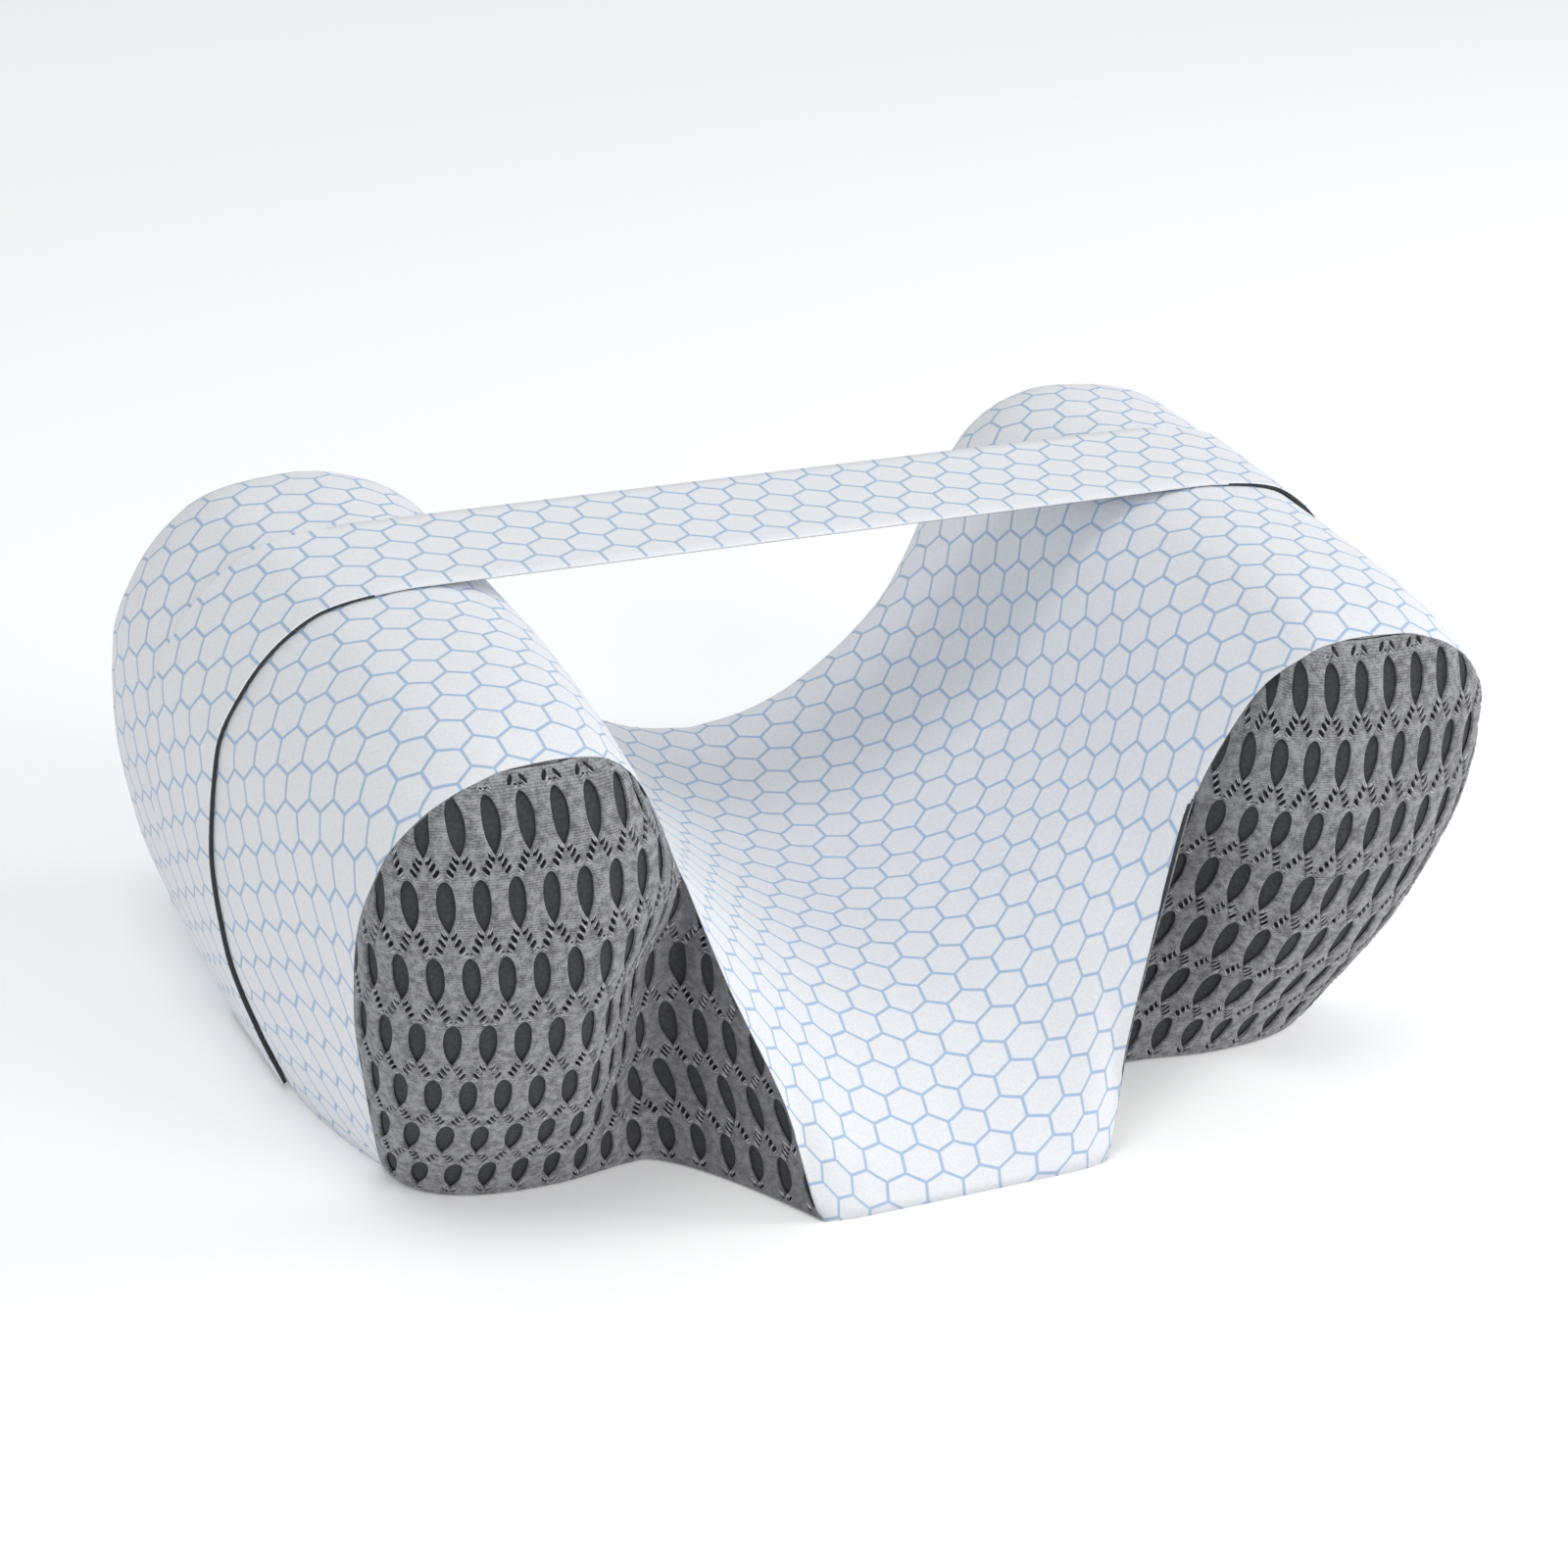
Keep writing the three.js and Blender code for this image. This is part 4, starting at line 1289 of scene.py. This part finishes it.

# %% [markdown]
# Round each column run the corners of the band's section: the printed top, the back edge, the
# under side and the front edge. Down the roll's side a lower part of the thickness is charcoal,
# painted shadow for the gap under the band, and so is the front edge's lowest strip, which draws a
# thin line of painted shadow under the span.

# %% Band
BAND_GAP, BAND_EDGE = 0.4, 0.35
EDGE_HIGH, EDGE_LOW = 0.7, 0.25
PRINTED, PAINTED_SHADOW, PLAIN = range(3)
BAND_CLOTHS = [band_knit, charcoal, plain_white]


def band_section():
    """The corners round the band: row, share of the thickness and step sideways."""
    last = BAND_ROWS - 1
    top = [(row, 1.0, 0.0) for row in range(BAND_ROWS)]
    back_edge = [(last, EDGE_HIGH, BAND_EDGE), (last, EDGE_LOW, BAND_EDGE)]
    under = [(row, 0.0, 0.0) for row in range(last, -1, -1)]
    front_edge = [(0, EDGE_LOW, -BAND_EDGE), (0, EDGE_HIGH, -BAND_EDGE)]
    return top + back_edge + under + front_edge


def band_slot(corner, corners, beside_roll):
    if corner < BAND_ROWS or corner == corners - 1:
        return PRINTED
    # Charcoal beside the rolls and on the front edge's lowest strip is painted shadow.
    return PAINTED_SHADOW if beside_roll or corner == corners - 3 else PLAIN


def build_band():
    base, outward, u, thick, dark = band_columns()
    section = band_section()
    n = len(section)
    points, uvs, faces, slots = [], [], [], []
    for c in range(len(base)):
        for row, white, sideways in section:
            share = 0.0 if white == 0 else dark[c] + (1 - dark[c]) * white
            lift = BAND_GAP + thick[c] * share
            points.append(base[c, row] + outward[c, row] * lift + (0, sideways, 0))
            uvs.append((u[c], base[0, row, 1] + sideways))
    for c in range(len(base) - 1):
        for k in range(n):
            a, b = c * n + k, c * n + (k + 1) % n
            faces.append((a, b, b + n, a + n))
            slots.append(band_slot(k, n, dark[c] > 0))
    faces.append(tuple(range(n))[::-1])
    faces.append(tuple(range((len(base) - 1) * n, len(base) * n)))
    slots += [PAINTED_SHADOW, PAINTED_SHADOW]
    piece = make_piece("band", points, faces, BAND_CLOTHS, slots, np.array(uvs))
    piece.data.set_sharp_from_angle(angle=math.radians(50))
    length = np.linalg.norm(np.diff(base[:, 0], axis=0), axis=-1).sum()
    return piece, length * MM


band, band_length = build_band()
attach(band, "root")
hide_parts("strap")
print("band:", round(band_length, 3), "m long")

# %% [markdown]
# ## The floor
# The photograph is a studio picture on white. A pale floor alone looks grey wherever
# it gets less light than the pillow, so it also glows a little. It is large enough
# to fill the picture behind the pillow.

# %% Floor
FLOOR_HALF, FLOOR_DROP = 8.0, 0.0002
FLOOR_WHITE, FLOOR_GLOW = (0.97, 0.97, 0.97, 1), 0.16
floor_mesh = bpy.data.meshes.new("floor")
floor_corners = [(-1, -1), (1, -1), (1, 1), (-1, 1)]
floor_points = [(x * FLOOR_HALF, y * FLOOR_HALF, -FLOOR_DROP) for x, y in floor_corners]
floor_mesh.from_pydata(floor_points, [], [(0, 1, 2, 3)])
floor = bpy.data.objects.new("floor", floor_mesh)
bpy.context.collection.objects.link(floor)
floor_paint, _, floor_shader = new_material("floor_paint", Roughness=0.9)
floor_shader.inputs["Base Color"].default_value = FLOOR_WHITE
floor_shader.inputs["Emission Color"].default_value = (1, 1, 1, 1)
floor_shader.inputs["Emission Strength"].default_value = FLOOR_GLOW
floor_mesh.materials.append(floor_paint)
print("floor:", 2 * FLOOR_HALF, "m wide")

# %% [markdown]
# ## The light
# White cloth in even light has no form. Here a bright surround fills the shadows, and three large
# soft lamps give the form: one in front, a stronger one on the right and a small one high on the
# left. Light adds up, so each lamp was rendered alone, their strengths were worked out from the
# brightness of a few places on the real cover, and were then set one by one. The Standard view
# keeps white cloth white.

# %% Lamps and surround
SKY_COLOUR, SKY_STRENGTH = (0.97, 0.985, 1.0, 1), 0.55
LAMP_AIM = Vector((0, 0, 0.1))
LAMPS = [  # name, place, size, power
    ("front", (0.6, -1.9, 1.5), 1.2, 13),
    ("right", (2.0, -0.5, 1.2), 1.0, 17),
    ("top_left", (-0.7, -0.4, 2.0), 0.8, 8),
]
world = bpy.data.worlds.new("studio")
world.use_nodes = True
world.node_tree.nodes["Background"].inputs["Color"].default_value = SKY_COLOUR
world.node_tree.nodes["Background"].inputs["Strength"].default_value = SKY_STRENGTH
bpy.context.scene.world = world


def soft_lamp(name, place, size, power):
    data = bpy.data.lights.new(name, "AREA")
    data.shape, data.size, data.energy = "DISK", size, power
    lamp = bpy.data.objects.new(name, data)
    lamp.location = place
    lamp.rotation_mode = "QUATERNION"
    lamp.rotation_quaternion = (LAMP_AIM - Vector(place)).to_track_quat("-Z", "Y")
    bpy.context.collection.objects.link(lamp)


for lamp_row in LAMPS:
    soft_lamp(*lamp_row)
bpy.context.scene.view_settings.view_transform = "Standard"
bpy.context.scene.view_settings.look = "None"
print("lamps:", [lamp_row[0] for lamp_row in LAMPS])

# %% [markdown]
# ## Finish
# The dressed pillow should reach past the frame only by the thickness of a cloth.
